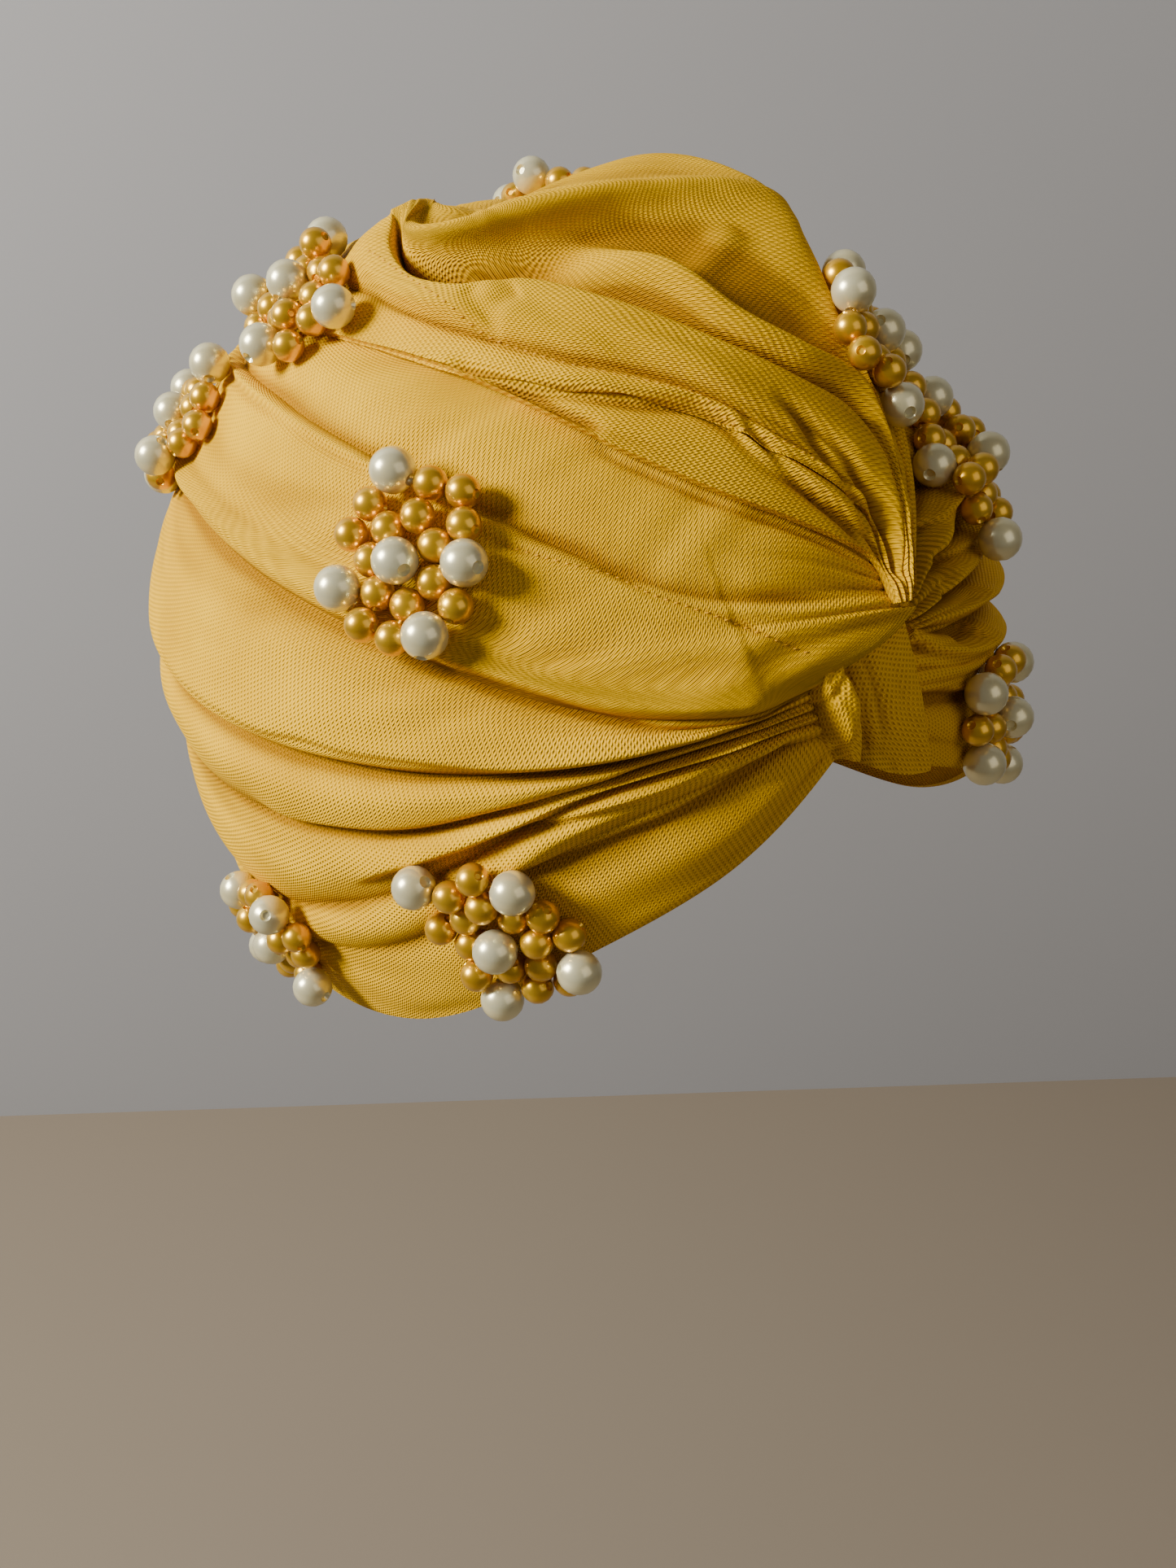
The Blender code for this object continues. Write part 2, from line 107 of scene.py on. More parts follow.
# The sine waves that make up the ripples: how many, and the ranges of their lengths and widths, in metres
RIPPLE_WAVES = 14
RIPPLE_LENGTHS = (0.035, 0.11)
RIPPLE_WIDTHS = (0.006, 0.022)
# Angles in degrees over which an edge of the cloth and of a bead stays sharp
CLOTH_SHARP = 65
BEAD_SHARP = 50
# Painted shade in fine and broad creases: how many rows lie on each side of one, and how deep it is where its
# painted shade is darkest
CREASE_SHADE_SCALES = ((4, 0.9 * MM), (14, 5.0 * MM), (26, 7.0 * MM))
# Painted shade of a deep crease: the share of red, green and blue of the cloth's colour that it keeps
CREASE_SHADE_TINT = (0.48, 0.39, 0.20, 1)
# The knit: how far its ribs lean, how many courses there are for each rib, how deep they cut it, and its bump
RIB_SLANT = 0.35
COURSE_RATE = 0.8
COURSE_DEPTH = 0.6
FUZZ_DEPTH = 0.8
KNIT_BUMP = 0.22 * MM
# How much the loops of the knit change its colour, as painted shade between the loops and painted light on
# them, and its darkest and brightest colour as shares of its colour, for the uneven dyeing and for that
# painted shade and light
LOOP_SHADE_SHARE = 0.42
DARK_DYE_AND_SHADE = (0.80, 0.76, 0.7)
BRIGHT_DYE_AND_LIGHT = (1.14, 1.18, 1.4)

# How far over the form a search for the cloth starts, and how far a bead stays from the cloth
SEARCH_HEIGHT = 30 * MM
BEAD_CLEARANCE = 0.1 * MM
# Depth of a bead's bore and width of its inner end, as shares of the bead's and of the opening's size
BORE_DEPTH = 0.08
BORE_TAPER = 0.6
# Warmer tints that the two pearl coatings have in patches
IVORY_TINT = (0.80, 0.72, 0.40, 1)
GOLD_TINT = (0.82, 0.50, 0.03, 1)

# Where the lights are aimed, and the power of the room's light as a share of the window's
LIGHT_TARGET = (0, 0, -80 * MM)
ROOM_SHARE = 0.12

STITCH_STEP = 1.7 * MM
STITCH_LENGTH = 1.1 * MM
# Thickness of a stitch as a share of its length, and how far it leans from the seam, in radians
STITCH_THICKNESS = 0.36
STITCH_SLANT = 0.4


def form_direction(turn, rise):
    """Unit vector of two angles, in degrees, before the head form's half sizes stretch it."""
    turn = math.radians(turn)
    rise = math.radians(rise)
    return np.array((-math.cos(rise) * math.sin(turn), -math.cos(rise) * math.cos(turn), math.sin(rise)))


def form_point(directions, heights):
    """Points at heights above the head form, for an array of unit vectors and one of metres."""
    rise = np.arcsin(np.clip(directions[..., 2], -1.0, 1.0))
    level = np.maximum(np.hypot(directions[..., 0], directions[..., 1]), 1e-9)
    spread = np.where(rise < 0.0, np.cos(LOWER_ROUNDING * rise), np.cos(rise)) / level
    scaled = directions * np.stack((spread, spread, np.ones_like(spread)), axis=-1)
    normal = scaled / HALF_SIZES
    normal /= np.linalg.norm(normal, axis=-1, keepdims=True)
    return scaled * HALF_SIZES + (0, 0, MIDDLE) + normal * np.asarray(heights)[..., None]


def in_photo(place, level):
    """The picture point of a place (turn, rise) at a level over the head form, in mm."""
    away = form_point(form_direction(*place), level * MM) - CAMERA_PLACE
    shift = np.array((away @ CAMERA_RIGHT, -(away @ CAMERA_UP))) / (away @ CAMERA_FORWARD)
    return PHOTO_SIZE / 2 + shift * CAMERA_LENS / SENSOR_SIZE * PHOTO_SIZE[1]


def seen(level, *pixels):
    """The places (turn, rise) that picture points show, on a cloth at a level over the head form, in mm."""
    sizes = HALF_SIZES + level * MM
    start = (CAMERA_PLACE - (0, 0, MIDDLE)) / sizes
    places = []
    for pixel in pixels:
        across, down = (pixel - PHOTO_SIZE / 2) * SENSOR_SIZE / CAMERA_LENS / PHOTO_SIZE[1]
        aim = (CAMERA_FORWARD + across * CAMERA_RIGHT - down * CAMERA_UP) / sizes
        nearest = start - (start @ aim) / (aim @ aim) * aim
        inside = 1 - nearest @ nearest
        point = nearest - math.sqrt(max(inside, 0) / (aim @ aim)) * aim
        point /= np.linalg.norm(point)
        place = np.degrees((math.atan2(-point[0], -point[1]), math.asin(point[2])))
        for _ in range(PLACE_STEPS if inside > 0 else 0):
            here = in_photo(place, level)
            slopes = [(in_photo(place + step, level) - here) / TRIAL_STEP for step in TRIAL_STEP * np.eye(2)]
            move = np.linalg.solve(np.transpose(slopes), pixel - here)
            place += move * min(1, LONGEST_STEP / max(np.linalg.norm(move), 1e-9))
        places.append(tuple(place))
    return tuple(places)


def at_twist(number, height):
    """Where a numbered fold of the crown leaves the twist, with its height there in mm."""
    return tuple(start + number * step for start, step in zip(TWIST_START, TWIST_STEP)) + (height,)


class SideFold(NamedTuple):
    """A line along one side: where it starts, its rise at each side turn, and its heights in mm."""

    name: str
    kind: str
    start: tuple
    rises: tuple
    heights: tuple


class CrownFold(NamedTuple):
    """A line over the crown, as places of (turn, rise, height in mm) from the twist to the back seam."""

    name: str
    kind: str
    places: tuple


class Wrinkle(NamedTuple):
    """A ridge, a crease or a lap (a step up on its left) along places (turn, rise); its sizes in mm."""

    name: str
    kind: str
    height: float
    width: float
    places: tuple


RIGHT_FOLDS = (
    SideFold("rim", "crease", (3.6, 13.5), (4, -9.5, -29, -39, -41, -41),
        (1, 0.5, 0.1, -0.3, -0.6, -0.8, -1)),
    SideFold("rim panel", "crest", (4.2, 15.2), (10, -1, -21, -33, -36, -37),
        (1, 1.8, 1.0, 0, -1.2, -1.2, -1.2)),
    SideFold("first crease", "crease", (4.7, 16.6), (15, 6.5, -14, -27, -31, -32),
        (0.5, 0, -0.6, -1, -1.9, -1.8, -1.6)),
    SideFold("first pleat", "crest", (5.0, 17.4), (16.2, 9, -10, -24, -28, -29),
        (1.5, 2.7, 2.2, 0.8, -0.4, -0.6, -0.8)),
    SideFold("second crease", "crease", (5.3, 18.1), (17.3, 11.5, -6, -21, -24, -25),
        (0.5, -0.2, -1, -1.4, -2, -1.8, -1.4)),
    SideFold("second pleat", "crest", (5.5, 18.8), (18.0, 12.6, -1, -12, -15, -16),
        (2, 2.8, 2.2, 1.4, 0.8, 0.3, 0)),
    SideFold("third crease", "crease", (5.7, 19.4), (18.6, 13.6, 3.5, -3, -6, -7),
        (0.6, -0.2, -0.6, -1, -1.4, -1.2, -0.8)),
    SideFold("third pleat", "crest", (5.8, 20.0), (19.1, 15, 8.5, 3.5, 1, 0),
        (2, 2.7, 2.5, 2.4, 2.2, 1.6, 1)),
    SideFold("fourth crease", "crease", (5.9, 20.6), (19.5, 16, 12.2, 8.5, 7, 5),
        (0.8, 0, -0.3, -0.8, -1.1, -0.8, 0)),
    SideFold("overlapping edge", "crest", (6.0, 21.2), (20.1, 17.2, 14.2, 10.8, 9.5, 7.5),
        (2, 3.4, 3.8, 3.9, 3.8, 2.8, 2)),
    SideFold("fifth crease", "crease", (5.6, 21.9), (21.0, 22.7, 27, 29.3, 27, 21),
        (2, 1.2, 0.6, 0.2, 0, -0.2, 0)),
    SideFold("band roll", "crest", (2.6, 23.0), (22.2, 24.6, 29.2, 31.4, 29, 23),
        (4.6, 4.4, 3.8, 3.8, 3.9, 3.2, 2.4)),
    SideFold("band edge", "crest", (-5.0, 24.4), (24.2, 26.0, 31.5, 34, 31, 25),
        (5.2, 4.4, 3.4, 2.4, 1.8, 1.6, 1.5)),
    SideFold("taut ridge", "crest", (-10.6, 25.6), (27.6, 28.5, 34.5, 37.5, 34, 27),
        (5, 3.5, 2.8, 2, 1.5, 1.5, 1.5)),
    SideFold("side seam", "crest", (-11.2, 26.6), (31.5, 37.7, 43.7, 46.2, 43, 35),
        (4, 2.4, 2.6, 2.8, 2.8, 2.8, 3)),
    SideFold("sixth crease", "crease", (-11.4, 27.5), (33.0, 39.4, 45.2, 47.8, 44.5, 36.5),
        (3, 1, 0.4, 0, -0.2, 0, 0)),
    SideFold("upper panel", "crest", (-11.5, 28.4), (39, 46.5, 51.5, 53.5, 48, 38.5),
        (2.6, 2, 2.2, 2.4, 2.4, 2, 1.5)),
    SideFold("tucked top", "crease", (-11.6, 29.3), (48, 57.0, 60.5, 61.5, 54, 44.5),
        (2.2, -0.5, -0.5, -0.5, -0.5, -0.5, -0.5)),
)

CROWN_FOLDS = (
    CrownFold("wedge edge", "crest", (
        at_twist(0, 5.4), (-9, 32, 3.4), (-5, 35, 4), (2, 39, 3.8), (12, 43.5, 3.8), (24, 48.5, 3.8),
        (30, 51, 3.8), (36, 53, 3.8), (56, 57.6, 3.2), (76, 58.4, 3.2), (94, 57.2, 3.2), (111, 55, 3.4),
        (128, 51.5, 3.6), (150, 47.5, 3.8), (180, 41.5, 3.8))),
    CrownFold("wedge panel", "crest", (
        at_twist(1, 6), (-9.6, 33.5, 4.6), (-6.2, 38, 5), (0, 42.5, 4.8), (9.5, 47.3, 4.6), (24, 52, 4.4),
        (31, 54, 4.1), (38, 55.3, 3.8), (56, 58, 3), (76, 58.8, 3), (94, 57.6, 3), (111, 55.4, 3.2),
        (128, 51.9, 3.4), (150, 47.9, 3.6), (180, 41.9, 3.4))),
    CrownFold("under the long edge", "crease", (
        at_twist(2, 4.2), (-10.2, 35.9, 2), (-6.6, 41.1, 1.8), (0.3, 46.5, 1.9), (8.2, 51.8, 2.2),
        (20, 55.2, 2.2), (28, 56.2, 2.2), (36, 57, 2.2), (56, 58.4, 2.2), (76, 59.2, 2.2), (94, 58, 2.2),
        (111, 55.8, 2.4), (128, 52.2, 2.6), (150, 48.2, 2.8), (180, 42.2, 2.6))),
    CrownFold("long edge", "crest", (
        at_twist(3, 6), (-10.3, 35.3, 5), (-6.5, 40.1, 5), (0.5, 45.3, 4.9), (8.5, 50.5, 4.6),
        (20, 53.9, 4.4), (28, 54.9, 4.2), (36, 55.7, 4.2), (56, 57.4, 3.8), (76, 58.2, 3.8),
        (94, 57, 3.8), (111, 54.8, 3.8), (128, 51.3, 3.8), (150, 47.3, 3.6), (180, 41.4, 3.2))),
    CrownFold("seam band", "soft", (
        at_twist(4, 6.4), (-10.6, 36, 5.8), (-6.8, 41, 5.6), (0, 46.3, 5.4), (8, 51.4, 5.2),
        (19.5, 55.1, 5.2), (27, 56.3, 5.2), (35, 57.2, 5.2), (55.5, 59.8, 5), (75, 61.6, 4.8),
        (93, 61.6, 4.8), (111, 59.5, 4.6), (128, 55.5, 4.2), (150, 50.5, 3.8), (180, 44, 3.2))),
    CrownFold("crown seam", "crease", (
        at_twist(5, 4.8), (-10.9, 36.6, 4), (-7.1, 42, 4.4), (-0.3, 47.2, 4.8), (7.5, 52.2, 5),
        (19, 56.4, 5), (26.5, 57.8, 5), (34, 58.9, 5), (55, 61.4, 5), (72, 62.6, 5), (86, 63.4, 5),
        (100, 62.6, 4.6), (116, 60.5, 4), (146, 54.5, 3.4), (180, 46, 3))),
    CrownFold("front of the roll", "soft", (
        at_twist(6, 6.2), (-13.3, 37.3, 6.4), (-9.5, 43.5, 7.2), (-2, 49.3, 7.6), (8, 54.8, 9.2),
        (21, 59.8, 9.8), (29, 61.6, 10), (37.5, 62.8, 10), (56, 62.8, 9.8), (71, 63.2, 9.6),
        (85, 64.6, 10), (97, 66.6, 10.6), (113, 66, 6), (142, 59.5, 3.6), (180, 48.5, 2.8))),
    CrownFold("top of the roll", "crest", (
        at_twist(7, 7), (-15.5, 38.5, 7.6), (-13.5, 45.5, 8.6), (-6, 51, 9.4), (6, 57, 10),
        (21, 62.3, 10.6), (31, 65, 10.6), (41, 66, 10.6), (57, 64.8, 10.4), (70, 65, 10.4),
        (82, 67, 11.2), (93, 70, 12.4), (109, 70, 8.4), (137, 64, 3.8), (180, 50, 2.6))),
    CrownFold("pocket floor", "crease", (
        at_twist(8, 4.4), (-16.3, 40.5, 4), (-17, 47, 4.6), (-9, 52.6, 5.2), (1.6, 58.8, 6),
        (13.5, 65, 4.2), (29, 67.4, 1.5), (41.5, 68.2, 0.3), (58, 66.8, 0.2), (72, 66.4, 0.3),
        (82.6, 68, 5), (94, 71.3, 12.5), (110, 71.3, 8.6), (138, 65.5, 3.6), (180, 51.5, 2.4))),
    CrownFold("second fold", "soft", (
        at_twist(9, 6.8), (-17, 39, 7.6), (-20.5, 47.5, 9.2), (-12, 53.5, 10.8), (-3, 59.5, 11.6),
        (5, 66.5, 12.3), (21, 70, 8.4), (42, 70.8, 2.2), (60, 69, 3), (72.4, 67.8, 4), (82, 68.4, 7.6),
        (94.6, 72.4, 12.5), (111, 72.6, 8.8), (139, 67, 3.4), (180, 53, 2.2))),
    CrownFold("foot of the wall", "soft", (
        at_twist(10, 4.6), (-17.8, 39.2, 4.4), (-23, 48, 5.2), (-17.5, 54.5, 6.2), (-10.5, 60.5, 7.2),
        (-4, 68.5, 7), (10, 74.3, 7), (42, 74, 7), (61.5, 71, 8), (72.6, 69.2, 9), (82, 69.2, 10.4),
        (95.2, 73.4, 12.5), (112, 73.8, 9), (140, 68.3, 3.2), (180, 54.5, 2))),
    CrownFold("tall ridge", "crest", (
        at_twist(11, 6.8), (-18.6, 39.5, 6.8), (-25, 49, 8.4), (-28.5, 55.5, 10.6), (-34, 60.5, 13.5),
        (-44, 67, 17), (-14, 76.5, 15), (42, 76.4, 14), (63, 72.4, 13.5), (73.4, 70.2, 13.4),
        (82, 70.2, 13), (96, 74.4, 11.8), (113, 74.8, 9.2), (141, 69.5, 3), (180, 55.5, 2))),
    CrownFold("behind the ridge", "soft", (
        at_twist(12, 5), (-19.2, 39.8, 4.6), (-26.5, 49.3, 5.8), (-32, 57, 9.6), (-40, 62.5, 14),
        (-50, 68.3, 16.4), (-42, 78.5, 12.4), (58, 82, 9), (71, 76.4, 9), (80.5, 73.8, 9.6),
        (90, 73.2, 10.4), (98.5, 75.6, 10), (115, 76, 9), (142, 70.8, 3), (180, 56.5, 2))),
    CrownFold("rear lip", "crest", (
        at_twist(13, 6), (-20, 40, 5.2), (-28, 49.5, 5.8), (-36, 58, 9.5), (-46, 64, 14),
        (-58, 69.5, 15.8), (-78, 77, 13.6), (90, 85.5, 5), (76, 79.2, 7), (84, 76.8, 9.4),
        (94.5, 75.8, 10), (103, 76.6, 9.6), (118, 77, 8), (144, 72, 3), (180, 57.5, 2))),
    CrownFold("rear slope", "soft", (
        at_twist(14, 5.5), (-22.5, 39, 4), (-32, 47.8, 4), (-45, 55.5, 5), (-60, 61.5, 7), (-78, 67, 6.5),
        (-105, 74, 4.5), (165, 84, 2.8), (140, 82, 2.8), (133, 80.5, 2.8), (130, 79.3, 3),
        (131, 77.5, 3.4), (140, 74, 3.6), (156, 69, 2.8), (180, 60.5, 2))),
    CrownFold("crown foot", "crease", (
        (-12.6, 27.2, 3.8), (-25, 36.5, 3.2), (-36, 43.2, 3.2), (-49, 49.5, 3.2), (-62, 55, 3.2),
        (-78, 59.8, 3.1), (-96, 64, 3), (-116, 67, 2.9), (-128, 68.1, 2.8), (-138, 68.5, 2.8),
        (-147, 68.3, 2.8), (-156, 67.7, 2.8), (-164, 67, 2.8), (-172, 65.8, 2.8), (-180, 64.5, 2.8))),
)

LEFT_FOLDS = (
    SideFold("rim", "crease", (-7.2, 9.5), (2, -10, -29, -39, -41, -41), (0.2, 0.3, 0.2, 0.1, 0, 0, 0)),
    SideFold("brow band", "crest", (-7.4, 13.0), (6.5, -3, -20, -31, -34, -35),
        (0.2, 1.5, 1.5, 1.5, 1.4, 1.2, 1)),
    SideFold("band crease", "crease", (-7.8, 17.0), (13.5, 7, -8, -19, -23, -24),
        (0.2, -0.8, -0.8, -0.5, 0, 0, 0)),
    SideFold("third roll", "crest", (-9.5, 20.5), (16.8, 11.5, 1, -8, -11, -12),
        (0.8, 4.4, 4, 3, 2, 1.4, 1)),
    SideFold("deep crease", "crease", (-12.4, 23.0), (20.2, 15.5, 8, 1.5, -1, -3),
        (0.3, -1.7, -1.7, -1.2, -0.5, -0.2, 0)),
    SideFold("second roll", "crest", (-12.7, 23.5), (22.2, 18, 13.5, 9, 8, 5),
        (1.4, 6.2, 5.2, 3.6, 2.4, 1.8, 1.2)),
    SideFold("upper crease", "crease", (-12.9, 24.0), (24.0, 21, 19.5, 18, 17, 13),
        (0.3, -1.7, -1.7, -1.2, -0.5, -0.2, 0)),
    SideFold("first roll", "crest", (-13.1, 24.6), (26.0, 25, 26, 27, 26, 21),
        (1.4, 6.2, 5.2, 3.6, 2.4, 1.8, 1.2)),
    SideFold("side crease", "crease", (-13.2, 25.2), (28.2, 29, 32, 35, 34, 28),
        (0.3, -1.7, -1.7, -1.2, -0.5, -0.2, 0)),
    SideFold("side pleat", "crest", (-13.3, 25.8), (30.4, 33, 38.5, 42.5, 41, 35),
        (1.4, 5.4, 4.8, 3.2, 2, 1.4, 1)),
    SideFold("high crease", "crease", (-13.4, 26.4), (33.0, 37, 44.5, 50, 49, 43),
        (0.3, -1.4, -1.4, -0.8, -0.2, 0, 0)),
    SideFold("high pleat", "crest", (-13.5, 27.0), (35.8, 40.5, 49.5, 56, 56, 50),
        (0.5, 0.4, 2.4, 4.5, 3.5, 2.5, 1.5)),
    SideFold("top crease", "crease", (-13.6, 27.6), (38.2, 43.5, 53.5, 61.5, 62, 57),
        (0.5, 0, 0, 0, 0, 0, 0)),
    SideFold("tucked top", "crest", (-14.2, 28.4), (41.5, 49, 60, 68.5, 71.5, 68),
        (0.2, -0.4, -0.4, -0.4, -0.4, -0.4, -0.4)),
)

TWIST_FOLDS = (
    CrownFold("under the right drape", "soft",
        ((-7, 31.8, -1.2), (8.5, 24.8, -1.2), (8.5, 18.5, -1), (5, 13.2, -0.4))),
    CrownFold("right edge", "crease",
        ((-9.0, 31.5, -0.8), (5.2, 23.8, 0.4), (5.4, 18.6, 1), (2.8, 13.4, 0.9))),
    CrownFold("inner loop", "crest",
        ((-10.2, 31.2, -0.8), (3.0, 24.5, 4), (3.2, 18.4, 6.4), (1.9, 13.2, 3.4))),
    CrownFold("inner loop edge", "soft",
        ((-10.8, 31.1, -0.8), (1.2, 24.7, 4), (1.4, 18.2, 6), (1.2, 12.9, 3.2))),
    CrownFold("loop crease", "crease",
        ((-11.4, 31, -0.8), (0.2, 25, 0.6), (0.4, 18, 0.8), (0.4, 12.4, 1))),
    CrownFold("outer loop", "soft",
        ((-13.6, 30.6, -0.8), (-4.4, 25.6, 1.8), (-3.6, 17.5, 3.4), (-4.2, 9.8, 3.2))),
    CrownFold("left edge", "crest",
        ((-15.4, 30.6, -0.8), (-10.4, 25.4, 2.6), (-8.2, 17, 6.0), (-8.9, 8.7, 4.8))),
    CrownFold("beside the left edge", "crease",
        ((-16.4, 30.6, -1), (-12.4, 25.2, 0), (-9.2, 17, 0.2), (-9.8, 9, 0.4))),
    CrownFold("under the left drape", "soft",
        ((-18.5, 30.8, -1.2), (-17.4, 24.6, -1), (-12.2, 17, -0.8), (-11.4, 9.4, -0.8))),
)

# The seam of the band on the wearer's right, from beside its round cluster to the twist
BAND_SEAM = seen(2, (560, 640), (605, 665), (685, 690), (750, 705), (800, 730), (850, 747), (900, 765),
    (959, 792), (998, 808))

RIGHT_WRINKLES = (
    Wrinkle("shoulder lap", "lap", 1.35, 7, seen(2, (283, 440), (302, 475), (330, 497), (380, 530),
        (420, 555), (460, 579), (500, 605))),
    Wrinkle("band seam", "crease", 0.6, 0.7, BAND_SEAM),
    Wrinkle("long join", "lap", 0.83, 6, seen(2, (215, 590), (250, 622), (280, 650), (330, 680),
        (380, 710), (430, 760), (460, 780), (500, 805))),
    Wrinkle("band underside", "lap", 1.95, 9, seen(3, (500, 802), (540, 815), (605, 832), (680, 857),
        (740, 877), (800, 890), (850, 892), (930, 883), (975, 860))),
    Wrinkle("rolled side edge", "lap", 1.35, 6, seen(2, (202, 745), (210, 800), (235, 835), (280, 870),
        (330, 895), (380, 905), (430, 920), (500, 930), (610, 942), (680, 940), (780, 925), (830, 910),
        (930, 888))),
    Wrinkle("long lower pleat", "lap", 1.65, 6, seen(1, (300, 985), (360, 1010), (420, 1018), (480, 1020),
        (530, 1015), (610, 995), (680, 980), (730, 965), (800, 930), (900, 900), (975, 880))),
    Wrinkle("middle lower pleat", "lap", 1.8, 6, seen(1, (430, 1090), (480, 1070), (530, 1055),
        (630, 1020), (680, 1008), (760, 985), (830, 960), (900, 925), (985, 882))),
    Wrinkle("short lower pleat", "lap", 1.5, 6, seen(1, (620, 1078), (660, 1065), (700, 1050),
        (760, 1025), (830, 995), (900, 955), (990, 888))),
    Wrinkle("pull beside the stones", "ridge", 0.35, 1.3, seen(2, (590, 645), (640, 645), (700, 652),
        (760, 668))),
    Wrinkle("lower band ridge", "ridge", 0.5, 1.8, seen(3, (590, 835), (700, 825), (800, 808), (900, 797),
        (980, 790))),
    Wrinkle("pull to the twist", "ridge", 0.5, 1.4, seen(4, (900, 740), (966, 753), (1040, 751),
        (1105, 745))),
    Wrinkle("pull above it", "ridge", 0.4, 1.4, seen(4, (900, 702), (960, 717), (1030, 729),
        (1095, 739))),
    Wrinkle("hollow under the wedge", "crease", 0.8, 0.9, ((30, 50.3), (24, 47.8), (12, 42.8), (2, 38.4),
        (-5, 34.4), (-8, 31.5))),
)
CROWN_WRINKLES = (
    Wrinkle("long edge lap", "lap", 1.5, 5, seen(4, (443, 421), (511, 442), (570, 460), (647, 474),
        (761, 490), (829, 496), (860, 502), (897, 524), (934, 560), (1000, 605), (1050, 640),
        (1085, 690))),
    Wrinkle("dark opening", "crease", 2.2, 1.3, seen(3, (550, 455), (590, 468), (640, 486), (690, 510),
        (745, 540))),
    Wrinkle("roll pinch", "crease", 0.7, 1.6, seen(10, (575, 352), (590, 378), (612, 392))),
    Wrinkle("roll pinch side", "crease", 0.7, 1.8, seen(10, (590, 385), (610, 370), (640, 356))),
    Wrinkle("dark slit", "crease", 1.4, 0.9, seen(6, (1060, 590), (1080, 630), (1096, 670), (1108, 715))),
    Wrinkle("upper strand groove", "crease", 1.3, 0.9, ((-0.9, 51.1), (-6.1, 46.5), (-9.9, 42.1),
        (-11.1, 36.6), (-10.8, 31.7), (-9.5, 27.5))),
    Wrinkle("middle strand groove", "crease", 1.2, 0.8, ((-3.5, 48.8), (-7.1, 42.7), (-8.6, 37.2),
        (-9.4, 32.1), (-8.9, 27.6))),
    Wrinkle("lower strand groove", "crease", 1.3, 0.9, ((5, 50.9), (0.9, 44.8), (-2.8, 40.2),
        (-6.1, 35.6), (-7.4, 31), (-8.3, 27.6))),
    Wrinkle("wall shade fold", "ridge", 1.2, 3, seen(12, (900, 280), (880, 300), (850, 325))),
)
LEFT_WRINKLES = (
    Wrinkle("fan lap", "lap", 2.6, 5, seen(2, (1110, 778), (1130, 792), (1160, 803), (1190, 800),
        (1214, 778))),
    Wrinkle("band lap", "lap", 2.4, 6, seen(2, (1100, 853), (1130, 851), (1165, 849),
        (1192, 848)) + ((-30, 10.2),)),
    Wrinkle("dark hollow", "crease", 3.4, 1.7, seen(2, (1165, 786), (1178, 780), (1196, 772))),
    Wrinkle("fan crease", "crease", 1.6, 1, seen(3, (1114, 760), (1145, 768), (1180, 755), (1212, 735))),
    Wrinkle("upper fan crease", "crease", 1.6, 1, seen(3, (1113, 752), (1140, 737), (1150, 712))),
    Wrinkle("short fan crease", "crease", 1.5, 1, seen(3, (1140, 770), (1165, 752), (1200, 722))),
    Wrinkle("upright crease", "crease", 1.7, 1, seen(2, (1148, 684), (1149, 715), (1145, 742))),
    Wrinkle("side roll lap", "lap", 2.6, 5, seen(3, (1128, 684), (1150, 682), (1172, 678), (1198, 655))),
    Wrinkle("upper roll lap", "lap", 2.2, 5, seen(3, (1120, 645), (1145, 640), (1165, 618))),
)
TWIST_WRINKLES = (
    Wrinkle("loop edge", "lap", 1.35, 3, seen(4, (1034, 936), (1040, 905), (1048, 862), (1046, 815))),
    Wrinkle("first inner crease", "crease", 0.8, 0.6, seen(4, (1040, 820), (1018, 858), (1004, 885))),
    Wrinkle("second inner crease", "crease", 0.6, 0.6, seen(4, (1030, 818), (1014, 842))),
    Wrinkle("first rib", "crease", 0.4, 0.6, seen(4, (1058, 805), (1072, 860), (1078, 935))),
    Wrinkle("second rib", "crease", 0.4, 0.6, seen(4, (1068, 798), (1084, 860), (1092, 938))),
)


class Seam(NamedTuple):
    """A stitched seam: the cloth it lies on and its course, as places of (turn, rise)."""

    cloth: str
    places: tuple


SEAMS = (
    Seam("right_drape", BAND_SEAM),
    Seam("crown_fold", ((90, 66), (74, 65), (55, 62), (37, 59), (26, 57), (17, 55), (10, 53), (5, 49),
        (-1, 46), (-6, 42))),
)


class Gathers(NamedTuple):
    """The fine strands of a cloth beside the twist: how many, how high and how far they reach, in metres."""

    count: float
    height: float
    reach: float


class Bead(NamedTuple):
    """A bead of a cluster, by its place across and up from the cluster's middle, in mm."""

    kind: str
    across: float
    up: float


def beads(ivory, gold):
    """The beads of a cluster, the ivory ones first."""
    return tuple(Bead("ivory", *place) for place in ivory) + tuple(Bead("gold", *place) for place in gold)


# Every bead of a round and of a long cluster
ROUND_CLUSTER = beads(
    ivory=((-3.7, 13.9), (-2.8, -0.8), (9.5, -1.2), (-11.5, -4.7), (3.7, -13.5)),
    gold=((2.5, 11.4), (8.0, 9.2), (8.7, 5.8), (-7.6, 8.2), (-4.3, 4.8), (1.2, 5.8), (3.4, 1.8),
        (-10.0, 3.2), (-7.7, 0.0), (3.4, -4.3), (-5.6, -5.8), (-0.7, -7.7), (8.0, -8.2), (-7.0, -10.3),
        (-2.1, -12.5)),
)
LONG_CLUSTER = beads(
    ivory=((-15.0, 7.5), (1.7, 9.8), (-1.6, -1.6), (11.9, -4.8), (-2.3, -11.4)),
    gold=((-9.1, 7.1), (-3.5, 10.4), (-4.2, 4.9), (1.0, 4.0), (6.4, 4.8), (11.0, 1.3), (5.1, -0.1),
        (-6.9, 1.6), (-9.1, -0.4), (-5.1, -3.9), (-5.1, -6.9), (0.7, -6.8), (5.2, -5.1), (6.6, -9.2),
        (10.8, -7.8)),
)


